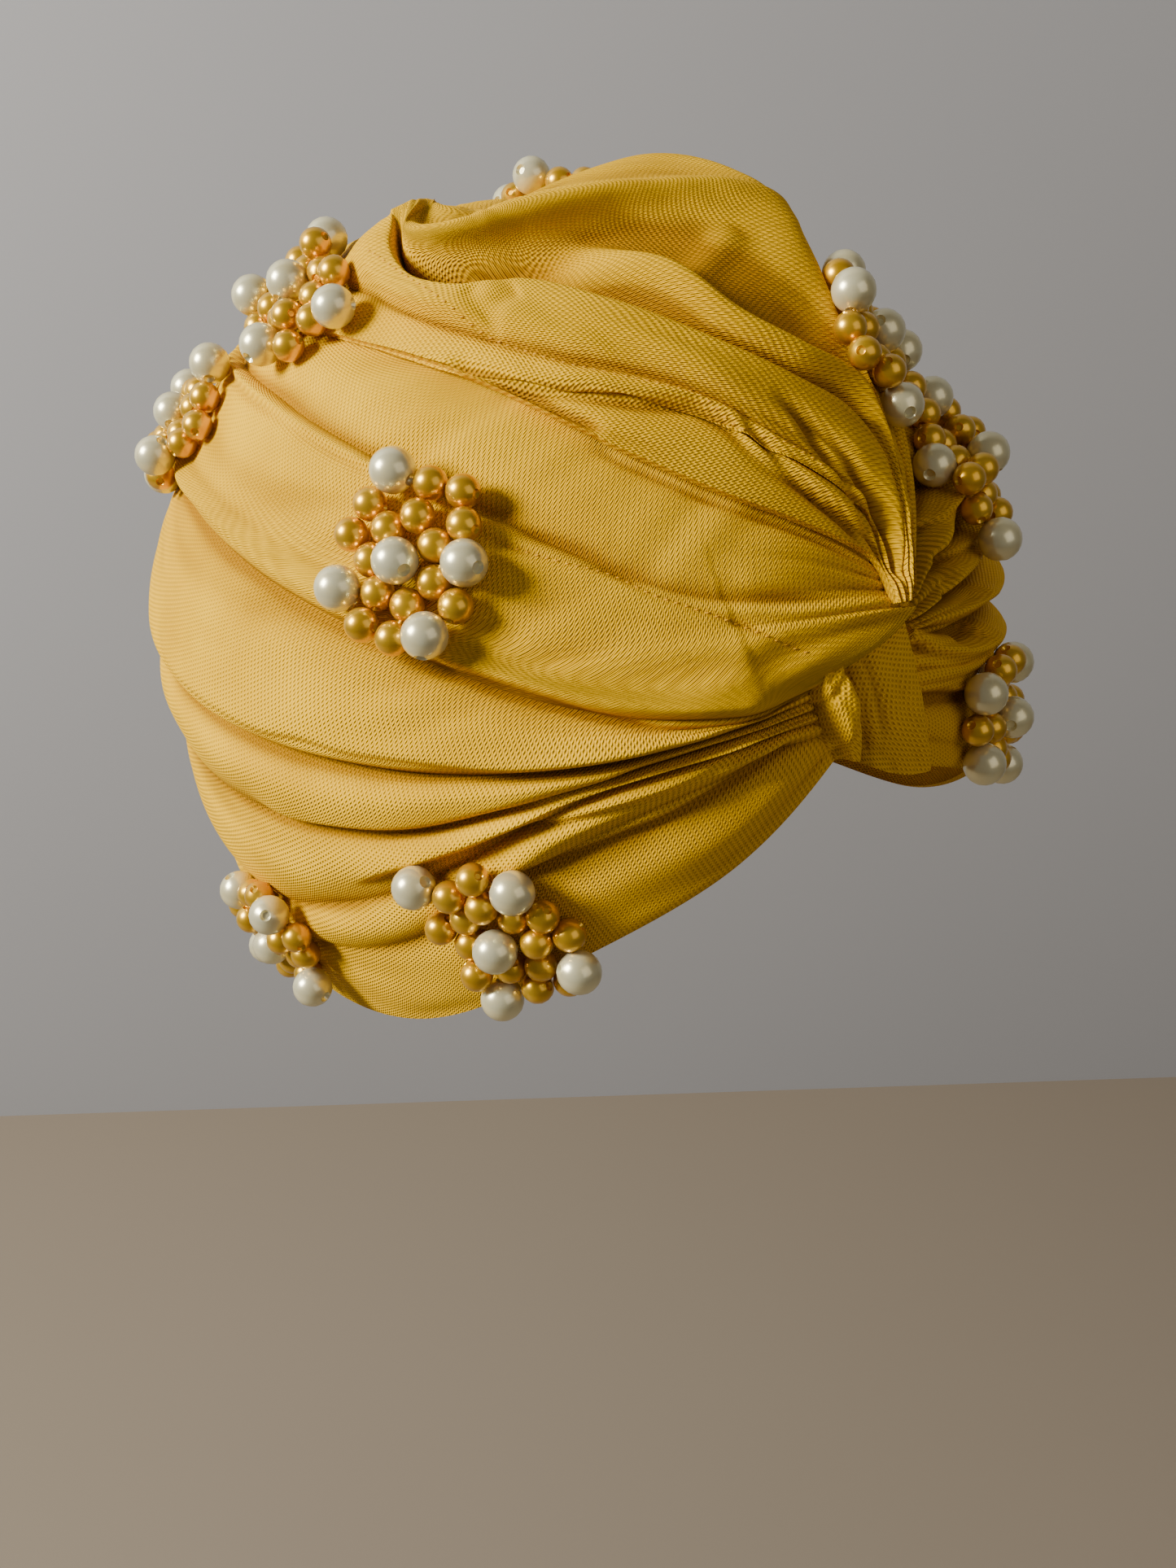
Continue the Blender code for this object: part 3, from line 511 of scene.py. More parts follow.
class Cluster(NamedTuple):
    """A sewn cluster: its CAD node, its layout, its place on the head form and the turn of its layout."""

    name: str
    layout: tuple
    turn: float
    rise: float
    spin: float


CLUSTERS = (
    Cluster("pearls_right_side", ROUND_CLUSTER, 54, 36, 12),
    Cluster("pearls_right_temple", LONG_CLUSTER, 43, -4, 0),
    Cluster("pearls_right_crown", LONG_CLUSTER, 104.5, 57.5, 222),
    Cluster("pearls_right_back", ROUND_CLUSTER, 117, 35, 330),
    Cluster("pearls_right_ear", LONG_CLUSTER, 81.5, -23, 72),
    Cluster("pearls_top", ROUND_CLUSTER, -137, 64.5, 60),
    Cluster("pearls_left_crown", ROUND_CLUSTER, -33, 51, 120),
    Cluster("pearls_left_temple", LONG_CLUSTER, -38, 33.2, 68),
    Cluster("pearls_left_brow", ROUND_CLUSTER, -27, 5.5, 198),
    Cluster("pearls_left_back", ROUND_CLUSTER, -106, 34, 20),
    Cluster("pearls_left_ear", LONG_CLUSTER, -82, -22, 250),
)


def length_setting(name, description, default):
    """A length among the settings, in metres."""
    return bpy.props.FloatProperty(name=name, description=description, default=default, unit="LENGTH")


def colour_setting(name, description, default):
    """A colour among the settings."""
    return bpy.props.FloatVectorProperty(
        name=name, description=description, default=default, size=4, subtype="COLOR")


class TurbanSettings(bpy.types.PropertyGroup):
    """Sizes and colours of the hat's looks."""

    cloth_thickness: length_setting(
        "Cloth thickness", "Thickness of one layer of the folded cloth", 0.0014)
    cloth_colour: colour_setting("Cloth", "Main colour of the knitted cloth", (0.87, 0.49, 0.0, 1.0))
    knit_pitch: length_setting("Knit pitch", "Distance between two ribs of the knitted cloth", 0.0008)
    ripple_height: length_setting(
        "Ripple height", "Height of the small soft ripples along the folds", 0.00014)
    ivory_size: length_setting("Ivory bead", "Diameter of an ivory bead", 0.008)
    gold_size: length_setting("Gold bead", "Diameter of a gold bead", 0.006)
    ivory_colour: colour_setting("Ivory", "Colour of the ivory beads", (0.80, 0.77, 0.50, 1.0))
    gold_colour: colour_setting("Gold", "Colour of the gold beads", (0.76, 0.42, 0.012, 1.0))
    backdrop_colour: colour_setting("Backdrop", "Colour of the backdrop", (0.37, 0.375, 0.39, 1.0))
    floor_colour: colour_setting("Floor", "Colour of the floor", (0.23, 0.19, 0.14, 1.0))
    light_strength: bpy.props.FloatProperty(
        name="Window light", description="Power of the large soft light, in watts", default=35.0)


def smooth_curve(places, values, samples):
    """Values at samples, on a smooth curve through values at places (Catmull-Rom)."""
    places = np.asarray(places, float)
    values = np.asarray(values, float)
    slopes = np.gradient(values, places, axis=0)
    index = np.clip(np.searchsorted(places, samples, side="right") - 1, 0, len(places) - 2)
    span = places[index + 1] - places[index]
    t = (samples - places[index]) / span
    if values.ndim > 1:
        t = t[:, None]
        span = span[:, None]
    start = values[index] * (1 + 2 * t) * (1 - t) ** 2 + slopes[index] * span * t * (1 - t) ** 2
    end = values[index + 1] * (3 - 2 * t) * t**2 - slopes[index + 1] * span * (1 - t) * t**2
    return start + end


def turn_on_side(turn, side):
    """A side fold's turn; the wearer's left folds start further round, where their twist is."""
    if side > 0 or turn == SIDE_TURNS[-1]:
        return side * turn
    share = (turn - SIDE_TURNS[0]) / (SIDE_TURNS[-1] - SIDE_TURNS[0])
    return -(turn + 6 * (1 - share))


def fold_line(fold, side, samples):
    """Directions and heights in mm along a fold; side is 1 on the wearer's right and -1 on the left."""
    if isinstance(fold, SideFold):
        turns = [fold.start[0]] + [turn_on_side(turn, side) for turn in SIDE_TURNS]
        rises = (fold.start[1],) + fold.rises
        heights = fold.heights
    else:
        turns, rises, heights = zip(*fold.places)
    stations = [form_direction(turn, rise) for turn, rise in zip(turns, rises)]
    share = np.linspace(0, 1, len(stations))
    return smooth_curve(share, stations, samples), smooth_curve(share, heights, samples)


def side_slopes(kind, before, after):
    """Slopes of the height into and out of a fold line: level at a crest, steep at a crease."""
    if kind == "crest":
        return before * 0, after * 0
    if kind == "crease":
        return before * 1.5, after * 1.5
    middle = (before + after) / 2
    return middle, middle


def cloth_grid(folds, side, samples):
    """Directions and heights of a cloth, with rows about one pitch apart between its fold lines."""
    lines = [fold_line(fold, side, samples) for fold in folds]
    directions = np.array([line[0] for line in lines])
    heights = np.array([line[1] for line in lines]) * MM
    apart = np.linalg.norm(np.diff(form_point(directions, heights), axis=0), axis=-1)
    spans = np.maximum(np.percentile(apart, 80, axis=1), 0.2 * MM)
    turning = np.diff(directions, axis=0) / spans[:, None, None]
    climbing = np.diff(heights, axis=0) / spans[:, None]
    rows = []
    for index, span in enumerate(spans):
        before = max(index - 1, 0)
        after = min(index + 1, len(spans) - 1)
        turn_in = (turning[before] + turning[index]) / 2
        turn_out = (turning[index] + turning[after]) / 2
        climb_in = side_slopes(folds[index].kind, climbing[before], climbing[index])[1]
        climb_out = side_slopes(folds[index + 1].kind, climbing[index], climbing[after])[0]
        steps = max(3, math.ceil(span / ROW_PITCH))
        for t in np.arange(steps) / steps:
            rows.append((
                hermite(directions[index], directions[index + 1], turn_in * span, turn_out * span, t),
                hermite(heights[index], heights[index + 1], climb_in * span, climb_out * span, t),
            ))
    rows.append((directions[-1], heights[-1]))
    directions = np.array([row[0] for row in rows])
    directions /= np.linalg.norm(directions, axis=-1, keepdims=True)
    return directions, np.array([row[1] for row in rows])


def hermite(start, end, slope_in, slope_out, t):
    """A cubic from start to end with a slope at each."""
    return (start * (1 + 2 * t) * (1 - t) ** 2 + slope_in * t * (1 - t) ** 2
            + end * (3 - 2 * t) * t**2 - slope_out * (1 - t) * t**2)


def ripples(along, across, seed):
    """Small soft ripples, long along the folds and short across them, between -1 and 1 or so."""
    chance = np.random.default_rng(seed)
    total = np.zeros_like(along)
    for _ in range(RIPPLE_WAVES):
        length = chance.uniform(*RIPPLE_LENGTHS)
        width = chance.uniform(*RIPPLE_WIDTHS)
        lean = chance.choice((-1, 1))
        phase = chance.uniform(0, 2 * math.pi)
        total += np.sin(2 * math.pi * (along / length + lean * across / width) + phase)
    return total / math.sqrt(RIPPLE_WAVES)


def wrinkle_heights(points, wrinkle):
    """What a wrinkle adds to the height of each point, in metres."""
    directions, path = form_course(wrinkle.places)
    lengths = np.linalg.norm(np.diff(path, axis=0), axis=-1)
    travelled = np.concatenate(((0,), np.cumsum(lengths)))
    width = wrinkle.width * MM
    reach = 3.5 * width + 2 * MM
    inside = (points > path.min(axis=0) - reach) & (points < path.max(axis=0) + reach)
    near = np.nonzero(np.all(inside, axis=-1))[0]
    local = points[near]
    gaps = np.full(len(near), np.inf)
    sides = np.zeros(len(near))
    shares = np.zeros(len(near))
    for start, end, outward, length, before in zip(path, path[1:], directions, lengths, travelled):
        step = (end - start) / length
        offset = local - start
        t = np.clip(offset @ step, 0, length)
        offset -= t[:, None] * step
        gap = np.linalg.norm(offset, axis=-1)
        closer = gap < gaps
        gaps[closer] = gap[closer]
        sides[closer] = np.sign(offset[closer] @ np.cross(outward, step))
        shares[closer] = (before + t[closer]) / travelled[-1]
    if wrinkle.kind == "lap":
        signed = sides * gaps
        shape = (1 + np.tanh(signed / LAP_EDGE)) / 2 * np.exp(-np.maximum(signed, 0) / width)
        shape -= LAP_GROOVE * np.exp(-((signed + 1.5 * LAP_EDGE) / (2 * LAP_EDGE)) ** 2)
    else:
        shape = np.exp(-((gaps / width) ** 2)) * (1 if wrinkle.kind == "ridge" else -1)
    fade = np.clip(np.minimum(shares, 1 - shares) * END_FADE, 0, 1)
    total = np.zeros(len(points))
    total[near] = wrinkle.height * MM * fade * fade * (3 - 2 * fade) * shape
    return total


def gather_heights(rows, along, gathers, seed):
    """Height of the fine strands that fan out from the twist and die away along the cloth, in metres."""
    chance = np.random.default_rng(seed + 100)
    spread = rows * gathers.count
    for wave in (1, 2, 3):
        spread = spread + STRAND_SPREAD * np.sin(2 * math.pi * (wave * rows + chance.uniform())) / wave
    sway = STRAND_SWAY * np.sin(along / SWAY_LENGTH + chance.uniform(0, 6))
    strands = np.abs(np.sin(math.pi * (spread + sway))) ** STRAND_POWER
    reach = np.exp(-along / gathers.reach) * np.clip(along / STRAND_START, 0, 1)
    return gathers.height * (strands - STRAND_LEVEL) * reach


def crease_shade_shares(heights):
    """How deep each point of a cloth lies below the cloth on both sides of it, from 0 to 1: the share of
    painted shade that darkens its colour.
    """
    total = np.zeros_like(heights)
    for reach, depth in CREASE_SHADE_SCALES:
        around = heights
        for _ in range(2):
            padded = np.pad(around, ((reach + 1, reach), (0, 0)), mode="edge")
            sums = np.cumsum(padded, axis=0)
            around = (sums[2 * reach + 1:] - sums[:-2 * reach - 1]) / (2 * reach + 1)
        total += np.clip((around - heights) / depth, 0, 1)
    return np.minimum(total, 1)


def form_course(places):
    """Directions and points of the head form along a smooth course through places of (turn, rise)."""
    stations = [form_direction(*place) for place in places]
    samples = np.linspace(0, 1, 8 * len(stations))
    directions = smooth_curve(np.linspace(0, 1, len(stations)), stations, samples)
    directions /= np.linalg.norm(directions, axis=-1, keepdims=True)
    return directions, form_point(directions, np.zeros(len(directions)))


def travelled_lengths(points, axis):
    """Length travelled along each row or column of a grid of points."""
    steps = np.linalg.norm(np.diff(points, axis=axis), axis=-1)
    sums = np.cumsum(steps, axis=axis)
    return np.insert(sums, 0, 0, axis=axis)


def collection_for(context):
    """The collection that the pieces of the hat's looks go in."""
    name = "turban_looks"
    collection = bpy.data.collections.get(name)
    if collection is None:
        collection = bpy.data.collections.new(name)
        context.scene.collection.children.link(collection)
    return collection


def add_object(context, name, mesh, material):
    """A new piece of a finished mesh, that moves with the hat."""
    obj = bpy.data.objects.new(name, mesh)
    collection_for(context).objects.link(obj)
    mesh.materials.append(material)
    mesh.shade_smooth()
    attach(obj, "root")
    return obj


def grid_faces(number):
    """The four corners of each face of a grid of vertex numbers."""
    corners = (number[:-1, :-1], number[:-1, 1:], number[1:, 1:], number[1:, :-1])
    return np.stack(corners, axis=-1).reshape(-1, 4)


def sheet_mesh(name, outer, inner, along, across):
    """A closed thin sheet from a fine outer grid and an inner one of every other row and column."""
    inner = inner[::2, ::2]
    number = np.arange(outer[..., 0].size).reshape(outer.shape[:2])
    back = np.arange(inner[..., 0].size).reshape(inner.shape[:2]) + number.size
    faces = grid_faces(number).tolist() + grid_faces(back)[:, (0, 3, 2, 1)].tolist()
    edges = (
        (number[0, :], back[0, :], False),
        (number[-1, :], back[-1, :], True),
        (number[:, 0], back[:, 0], True),
        (number[:, -1], back[:, -1], False),
    )
    for fine, coarse, forward in edges:
        for k in range(len(coarse) - 1):
            face = [int(v) for v in (*fine[2 * k:2 * k + 3], coarse[k + 1], coarse[k])]
            faces.append(face if forward else face[::-1])
    mesh = bpy.data.meshes.new(name)
    points = np.concatenate((outer.reshape(-1, 3), inner.reshape(-1, 3)))
    mesh.from_pydata(points.tolist(), [], faces)
    flat = np.stack((along, across), axis=-1)
    flat = np.concatenate((flat.reshape(-1, 2), flat[::2, ::2].reshape(-1, 2) + EDGE_WIDTH))
    layer = mesh.uv_layers.new(name="cloth")
    corners = np.empty(len(mesh.loops), dtype=np.int32)
    mesh.loops.foreach_get("vertex_index", corners)
    layer.data.foreach_set("uv", flat[corners].astype(np.float32).ravel())
    bm = bmesh.new()
    bm.from_mesh(mesh)
    bmesh.ops.recalc_face_normals(bm, faces=bm.faces[:])
    bm.to_mesh(mesh)
    bm.free()
    return mesh


def add_cloth(context, name, folds, wrinkles, gathers, side, columns, seed):
    """A cloth piece that stands for the CAD node of its name; its side is -1 on the wearer's left, else 1."""
    settings = context.scene.turban
    samples = np.linspace(0, 1, columns)
    directions, heights = cloth_grid(folds, side, samples)
    if len(heights) % 2 == 0:
        directions = np.concatenate((directions, directions[-1:]))
        heights = np.concatenate((heights, heights[-1:] - DOUBLED_DROP))
    base = form_point(directions, np.zeros_like(heights))
    smooth = form_point(directions, heights)
    along = travelled_lengths(smooth, 1)
    across = travelled_lengths(smooth, 0)
    extra = settings.ripple_height * ripples(along, across, seed)
    flat_points = base.reshape(-1, 3)
    for wrinkle in wrinkles:
        extra += wrinkle_heights(flat_points, wrinkle).reshape(extra.shape)
    rows = np.linspace(0, 1, len(heights))[:, None]
    extra += gather_heights(rows, along, gathers, seed)
    extra *= np.clip(np.minimum(across, across[-1] - across) / EDGE_FADE, 0, 1)
    outer = form_point(directions, heights + extra)
    lining = np.maximum(heights + np.minimum(extra, 0) - settings.cloth_thickness, LOWEST_INSIDE)
    inner = form_point(directions, np.minimum(lining, heights + extra - LEAST_THICKNESS))
    mesh = sheet_mesh(name + "_cloth", outer, inner, along, across)
    # Painted shade: each point's share of darkening in the creases, kept on the mesh for the cloth's colour
    shade_shares = crease_shade_shares(heights + extra)
    layer = mesh.attributes.new("painted_crease_shade", "FLOAT", "POINT")
    shade_shares = np.concatenate((shade_shares.ravel(), shade_shares[::2, ::2].ravel()))
    layer.data.foreach_set("value", shade_shares.astype(np.float32))
    obj = add_object(context, name + "_cloth", mesh, cloth_material(settings))
    mesh.set_sharp_from_angle(angle=math.radians(CLOTH_SHARP))
    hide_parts(name)
    return obj


def new_material(name):
    """A new material, its node tree and its shader."""
    material = bpy.data.materials.new(name)
    material.use_nodes = True
    return material, material.node_tree, material.node_tree.nodes["Principled BSDF"]


def set_inputs(node, values):
    """Sets inputs of a node by their names."""
    for name, value in values.items():
        node.inputs[name].default_value = value


def noise(tree, place, scale, detail=2):
    """The strength of a noise at a place."""
    node = tree.nodes.new("ShaderNodeTexNoise")
    set_inputs(node, {"Scale": scale, "Detail": detail})
    tree.links.new(place, node.inputs["Vector"])
    return node.outputs[0]


def object_place(tree):
    """The place of a shaded point in its object."""
    return tree.nodes.new("ShaderNodeTexCoord").outputs["Object"]


def ramp(tree, share, first, last, ends=(0, 1)):
    """A colour between two others; at the ends of the share it is the first and the last."""
    node = tree.nodes.new("ShaderNodeValToRGB")
    for element, end, colour in zip(node.color_ramp.elements, ends, (first, last)):
        element.position = end
        element.color = colour
    tree.links.new(share, node.inputs[0])
    return node.outputs[0]


def scaled_colour(colour, shares):
    """A colour with its red, green and blue each scaled by a share."""
    return tuple(part * share for part, share in zip(colour, shares)) + (1,)


def add_bump(tree, shader, height, strength, distance):
    """Makes a shader's surface look raised by a height."""
    node = tree.nodes.new("ShaderNodeBump")
    set_inputs(node, {"Strength": strength, "Distance": distance})
    tree.links.new(height, node.inputs["Height"])
    tree.links.new(node.outputs[0], shader.inputs["Normal"])


def math_node(tree, operation, first, second=None):
    """The output of a maths node on two values or sockets."""
    node = tree.nodes.new("ShaderNodeMath")
    node.operation = operation
    for place, value in enumerate((first, second)):
        if value is None:
            continue
        if isinstance(value, bpy.types.NodeSocket):
            tree.links.new(value, node.inputs[place])
        else:
            node.inputs[place].default_value = value
    return node.outputs[0]


def cloth_material(settings):
    """Mustard jersey: fine ribs with a satin sheen, dyed a little unevenly, with painted shade in its creases
    and painted shade and light on its loops.
    """
    material = bpy.data.materials.get("mustard_knit")
    if material:
        return material
    material, tree, shader = new_material("mustard_knit")
    uv = tree.nodes.new("ShaderNodeUVMap")
    uv.uv_map = "cloth"
    split = tree.nodes.new("ShaderNodeSeparateXYZ")
    tree.links.new(uv.outputs[0], split.inputs[0])
    along, across = split.outputs[:2]
    turns = 2 * math.pi / settings.knit_pitch
    slanted = math_node(tree, "ADD", across, math_node(tree, "MULTIPLY", along, RIB_SLANT))
    rib = math_node(tree, "SINE", math_node(tree, "MULTIPLY", slanted, turns))
    course = math_node(tree, "SINE", math_node(tree, "MULTIPLY", along, turns * COURSE_RATE))
    courses = math_node(tree, "ADD", math_node(tree, "MULTIPLY", course, COURSE_DEPTH), 1 - COURSE_DEPTH)
    loops = math_node(tree, "MULTIPLY", rib, courses)
    fuzz = math_node(tree, "MULTIPLY", noise(tree, uv.outputs[0], 2600, 3), FUZZ_DEPTH)
    add_bump(tree, shader, math_node(tree, "ADD", loops, fuzz), 0.9, KNIT_BUMP)
    # Painted shade between the knit's loops and painted light on them, added to the uneven dyeing
    loop_shade = math_node(tree, "MULTIPLY", loops, LOOP_SHADE_SHARE)
    dye_and_loop_shade = math_node(tree, "ADD", loop_shade, noise(tree, uv.outputs[0], 38, 4))
    dark = scaled_colour(settings.cloth_colour, DARK_DYE_AND_SHADE)
    bright = scaled_colour(settings.cloth_colour, BRIGHT_DYE_AND_LIGHT)
    # Painted shade: the cloth's colour multiplied by a darker tint in its creases
    depth = tree.nodes.new("ShaderNodeAttribute")
    depth.attribute_name = "painted_crease_shade"
    shade = tree.nodes.new("ShaderNodeMixRGB")
    shade.blend_type = "MULTIPLY"
    tree.links.new(depth.outputs["Fac"], shade.inputs["Fac"])
    tree.links.new(ramp(tree, dye_and_loop_shade, dark, bright, (0.25, 0.75)), shade.inputs["Color1"])
    shade.inputs["Color2"].default_value = CREASE_SHADE_TINT
    tree.links.new(shade.outputs[0], shader.inputs["Base Color"])
    set_inputs(shader, {
        "Roughness": 0.62, "Specular IOR Level": 0.12, "Specular Tint": (1.0, 0.70, 0.05, 1),
        "Sheen Weight": 0.05, "Sheen Roughness": 0.4, "Sheen Tint": (1.0, 0.75, 0.1, 1),
    })
    return material


def pearl_material(name, colour, warm, metallic, roughness):
    """A pearl coating: a soft body colour, a warmer tint in broad patches and a clear glossy coat."""
    material, tree, shader = new_material(name)
    place = object_place(tree)
    body = ramp(tree, noise(tree, place, 260, 3), colour, warm, (0.35, 0.72))
    tree.links.new(body, shader.inputs["Base Color"])
    add_bump(tree, shader, noise(tree, place, 2400), 0.12, 0.04 * MM)
    set_inputs(shader, {
        "Metallic": metallic, "Roughness": roughness, "Coat Weight": 0.45, "Coat Roughness": 0.12,
    })
    return material


def plain_material(name, colour):
    """A matt painted surface with a faint unevenness, for the floor and the backdrop."""
    material, tree, shader = new_material(name)
    dark, bright = (scaled_colour(colour, (share,) * 3) for share in (0.97, 1.03))
    paint = ramp(tree, noise(tree, object_place(tree), 3), dark, bright)
    tree.links.new(paint, shader.inputs["Base Color"])
    shader.inputs["Roughness"].default_value = 0.85
    return material


class TURBAN_OT_right_drape(bpy.types.Operator):
    """Makes the pleated cloth of the wearer's right side"""

    bl_idname = "turban.right_drape"
    bl_label = "Right drape"

    def execute(self, context):
        gathers = Gathers(15, 0.9 * MM, 22 * MM)
        add_cloth(context, "right_drape", RIGHT_FOLDS, RIGHT_WRINKLES, gathers,
                  side=1, columns=313, seed=3)
        return {"FINISHED"}


class TURBAN_OT_crown_fold(bpy.types.Operator):
    """Makes the loose cloth over the crown, with its roll, pocket and tall ridge"""

    bl_idname = "turban.crown_fold"
    bl_label = "Crown fold"

    def execute(self, context):
        gathers = Gathers(11, 2.1 * MM, 42 * MM)
        add_cloth(context, "crown_fold", CROWN_FOLDS, CROWN_WRINKLES, gathers,
                  side=1, columns=361, seed=5)
        return {"FINISHED"}


class TURBAN_OT_left_drape(bpy.types.Operator):
    """Makes the ruched cloth of the wearer's left side"""

    bl_idname = "turban.left_drape"
    bl_label = "Left drape"

    def execute(self, context):
        gathers = Gathers(13, 1.6 * MM, 22 * MM)
        add_cloth(context, "left_drape", LEFT_FOLDS, LEFT_WRINKLES, gathers,
                  side=-1, columns=313, seed=7)
        return {"FINISHED"}


class TURBAN_OT_twist_loops(bpy.types.Operator):
    """Makes the two short folds that come out under the twist"""

    bl_idname = "turban.twist_loops"
    bl_label = "Twist loops"

    def execute(self, context):
        gathers = Gathers(9, 0.6 * MM, 60 * MM)
        add_cloth(context, "twist_loops", TWIST_FOLDS, TWIST_WRINKLES, gathers,
                  side=1, columns=121, seed=9)
        return {"FINISHED"}


def surface_tree(objects):
    """A search tree over the faces of several objects."""
    points = []
    faces = []
    for obj in objects:
        first = len(points)
        points.extend(vertex.co for vertex in obj.data.vertices)
        faces.extend([first + index for index in polygon.vertices] for polygon in obj.data.polygons)
    return BVHTree.FromPolygons(points, faces)


def laid_out(cluster, middle, normal):
    """The place below each bead, on the plane through a middle at right angles to a normal."""
    across = Vector((0, 0, 1)).cross(normal).normalized()
    across = Matrix.Rotation(math.radians(cluster.spin), 3, normal) @ across
    up = normal.cross(across)
    return [middle + (across * bead.across + up * bead.up) * MM for bead in cluster.layout]


def bead_places(cluster, tree, radii):
    """Centre of each bead of a cluster, laid on the cloth at the slope it has there, and that slope."""
    direction = form_direction(cluster.turn, cluster.rise)
    middle = Vector(form_point(direction, 0.0))
    outward = (Vector(form_point(direction, MM)) - middle).normalized()
    slope = Vector()
    for foot in laid_out(cluster, middle, outward):
        slope += tree.ray_cast(foot + outward * SEARCH_HEIGHT, -outward)[1]
    normal = slope.normalized()
    middle = tree.ray_cast(middle + outward * SEARCH_HEIGHT, -outward)[0]
    centres = []
    for foot, radius in zip(laid_out(cluster, middle, normal), radii):
        hit = tree.ray_cast(foot + normal * SEARCH_HEIGHT, -normal)[0]
        height = (hit - foot).dot(normal) + radius
        for _ in range(8):
            height += max(0.0, radius + BEAD_CLEARANCE - tree.find_nearest(foot + normal * height)[3])
        centres.append(foot + normal * height)
    for _ in range(60):
        for i in range(len(centres)):
            for j in range(i):
                gap = centres[i] - centres[j]
                short = radii[i] + radii[j] - gap.length
                if short > 0:
                    push = gap.normalized() * short / 2
                    centres[i] = centres[i] + push
                    centres[j] = centres[j] - push
        for i, radius in enumerate(radii):
            distance = tree.find_nearest(centres[i])[3]
            if distance < radius:
                centres[i] = centres[i] + normal * (radius - distance)
    return centres, normal


def bead_mesh(context, name, size):
    """A drilled round bead: a sphere opened at its poles, with its bore drawn in from both ends."""
    bpy.ops.object.select_all(action="DESELECT")
    bpy.ops.mesh.primitive_uv_sphere_add(segments=18, ring_count=11, radius=size / 2, location=(0, 0, 0))
    obj = context.object
    bpy.ops.object.mode_set(mode="EDIT")
    bpy.ops.mesh.select_all(action="DESELECT")
    bm = bmesh.from_edit_mesh(obj.data)
    for vertex in bm.verts:
        vertex.select = abs(vertex.co.z) > size * 0.4999
    bm.select_flush_mode()
    bmesh.update_edit_mesh(obj.data)
    bpy.ops.mesh.select_mode(type="VERT")
    bpy.ops.mesh.delete(type="VERT")
    bpy.ops.mesh.select_all(action="DESELECT")
    for pole in (1, -1):
        bm = bmesh.from_edit_mesh(obj.data)
        for vertex in bm.verts:
            vertex.select = vertex.is_boundary and vertex.co.z * pole > 0
        bm.select_flush_mode()
        for edge in bm.edges:
            edge.select = edge.is_boundary and edge.verts[0].co.z * pole > 0
        bmesh.update_edit_mesh(obj.data)
        bpy.ops.mesh.select_mode(type="EDGE")
        inwards = (0, 0, -BORE_DEPTH * size * pole)
        bpy.ops.mesh.extrude_edges_move(TRANSFORM_OT_translate={"value": inwards})
        bpy.ops.transform.resize(value=(BORE_TAPER, BORE_TAPER, 1.0), center_override=(0, 0, 0))
        bpy.ops.mesh.edge_face_add()
        bpy.ops.mesh.select_all(action="DESELECT")
    bpy.ops.object.mode_set(mode="OBJECT")
    mesh = obj.data
    mesh.name = name
    bpy.data.objects.remove(obj)
    return mesh


def add_copy(bm, mesh, matrix):
    """Adds a moved copy of a mesh to a mesh under edit."""
    first = len(bm.verts)
    bm.from_mesh(mesh)
    bm.verts.ensure_lookup_table()
    bmesh.ops.transform(bm, matrix=matrix, verts=bm.verts[first:])


def add_edited(context, name, bm, material):
    """A new piece of a mesh under edit, which is closed."""
    mesh = bpy.data.meshes.new(name)
    bm.to_mesh(mesh)
    bm.free()
    return add_object(context, name, mesh, material)


class TURBAN_OT_pearls(bpy.types.Operator):
    """Makes the sewn clusters of ivory and gold beads, seated on the cloth"""

    bl_idname = "turban.pearls"
    bl_label = "Pearl clusters"

    def execute(self, context):
        settings = context.scene.turban
        names = ("right_drape", "crown_fold", "left_drape")
        tree = surface_tree([bpy.data.objects[name + "_cloth"] for name in names])
        sizes = {"ivory": settings.ivory_size, "gold": settings.gold_size}
        beads = {kind: bead_mesh(context, kind + "_bead", size) for kind, size in sizes.items()}
        finishes = {
            "ivory": pearl_material("ivory_pearl_coat", settings.ivory_colour, IVORY_TINT, 0.5, 0.28),
            "gold": pearl_material("gold_pearl_coat", settings.gold_colour, GOLD_TINT, 0.75, 0.30),
        }
        chance = np.random.default_rng(11)
        for cluster in CLUSTERS:
            radii = [sizes[bead.kind] / 2 for bead in cluster.layout]
            centres, normal = bead_places(cluster, tree, radii)
            for kind in ("ivory", "gold"):
                bm = bmesh.new()
                for bead, centre in zip(cluster.layout, centres):
                    if bead.kind != kind:
                        continue
                    tangent = normal.orthogonal()
                    tangent.rotate(Matrix.Rotation(chance.uniform(0, 2 * math.pi), 3, normal))
                    tilted = (tangent + normal * chance.uniform(-0.5, 0.5)).normalized()
                    turn = Vector((0, 0, 1)).rotation_difference(tilted).to_matrix().to_4x4()
                    add_copy(bm, beads[kind], Matrix.Translation(centre) @ turn)
                obj = add_edited(context, cluster.name + "_" + kind, bm, finishes[kind])
                obj.data.set_sharp_from_angle(angle=math.radians(BEAD_SHARP))
                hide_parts(cluster.name)
        for mesh in beads.values():
            bpy.data.meshes.remove(mesh)
        return {"FINISHED"}


def stitch_mesh(context):
    """One stitch: a short thick thread that tapers at both ends, along X."""
    bpy.ops.object.select_all(action="DESELECT")
    bpy.ops.mesh.primitive_ico_sphere_add(subdivisions=1, radius=STITCH_LENGTH / 2, location=(0, 0, 0))
    obj = context.object
    bpy.ops.object.mode_set(mode="EDIT")
    bpy.ops.mesh.select_all(action="SELECT")
    bpy.ops.transform.resize(value=(1.0, STITCH_THICKNESS, STITCH_THICKNESS), center_override=(0, 0, 0))
    bpy.ops.object.mode_set(mode="OBJECT")
    mesh = obj.data
    bpy.data.objects.remove(obj)
    return mesh


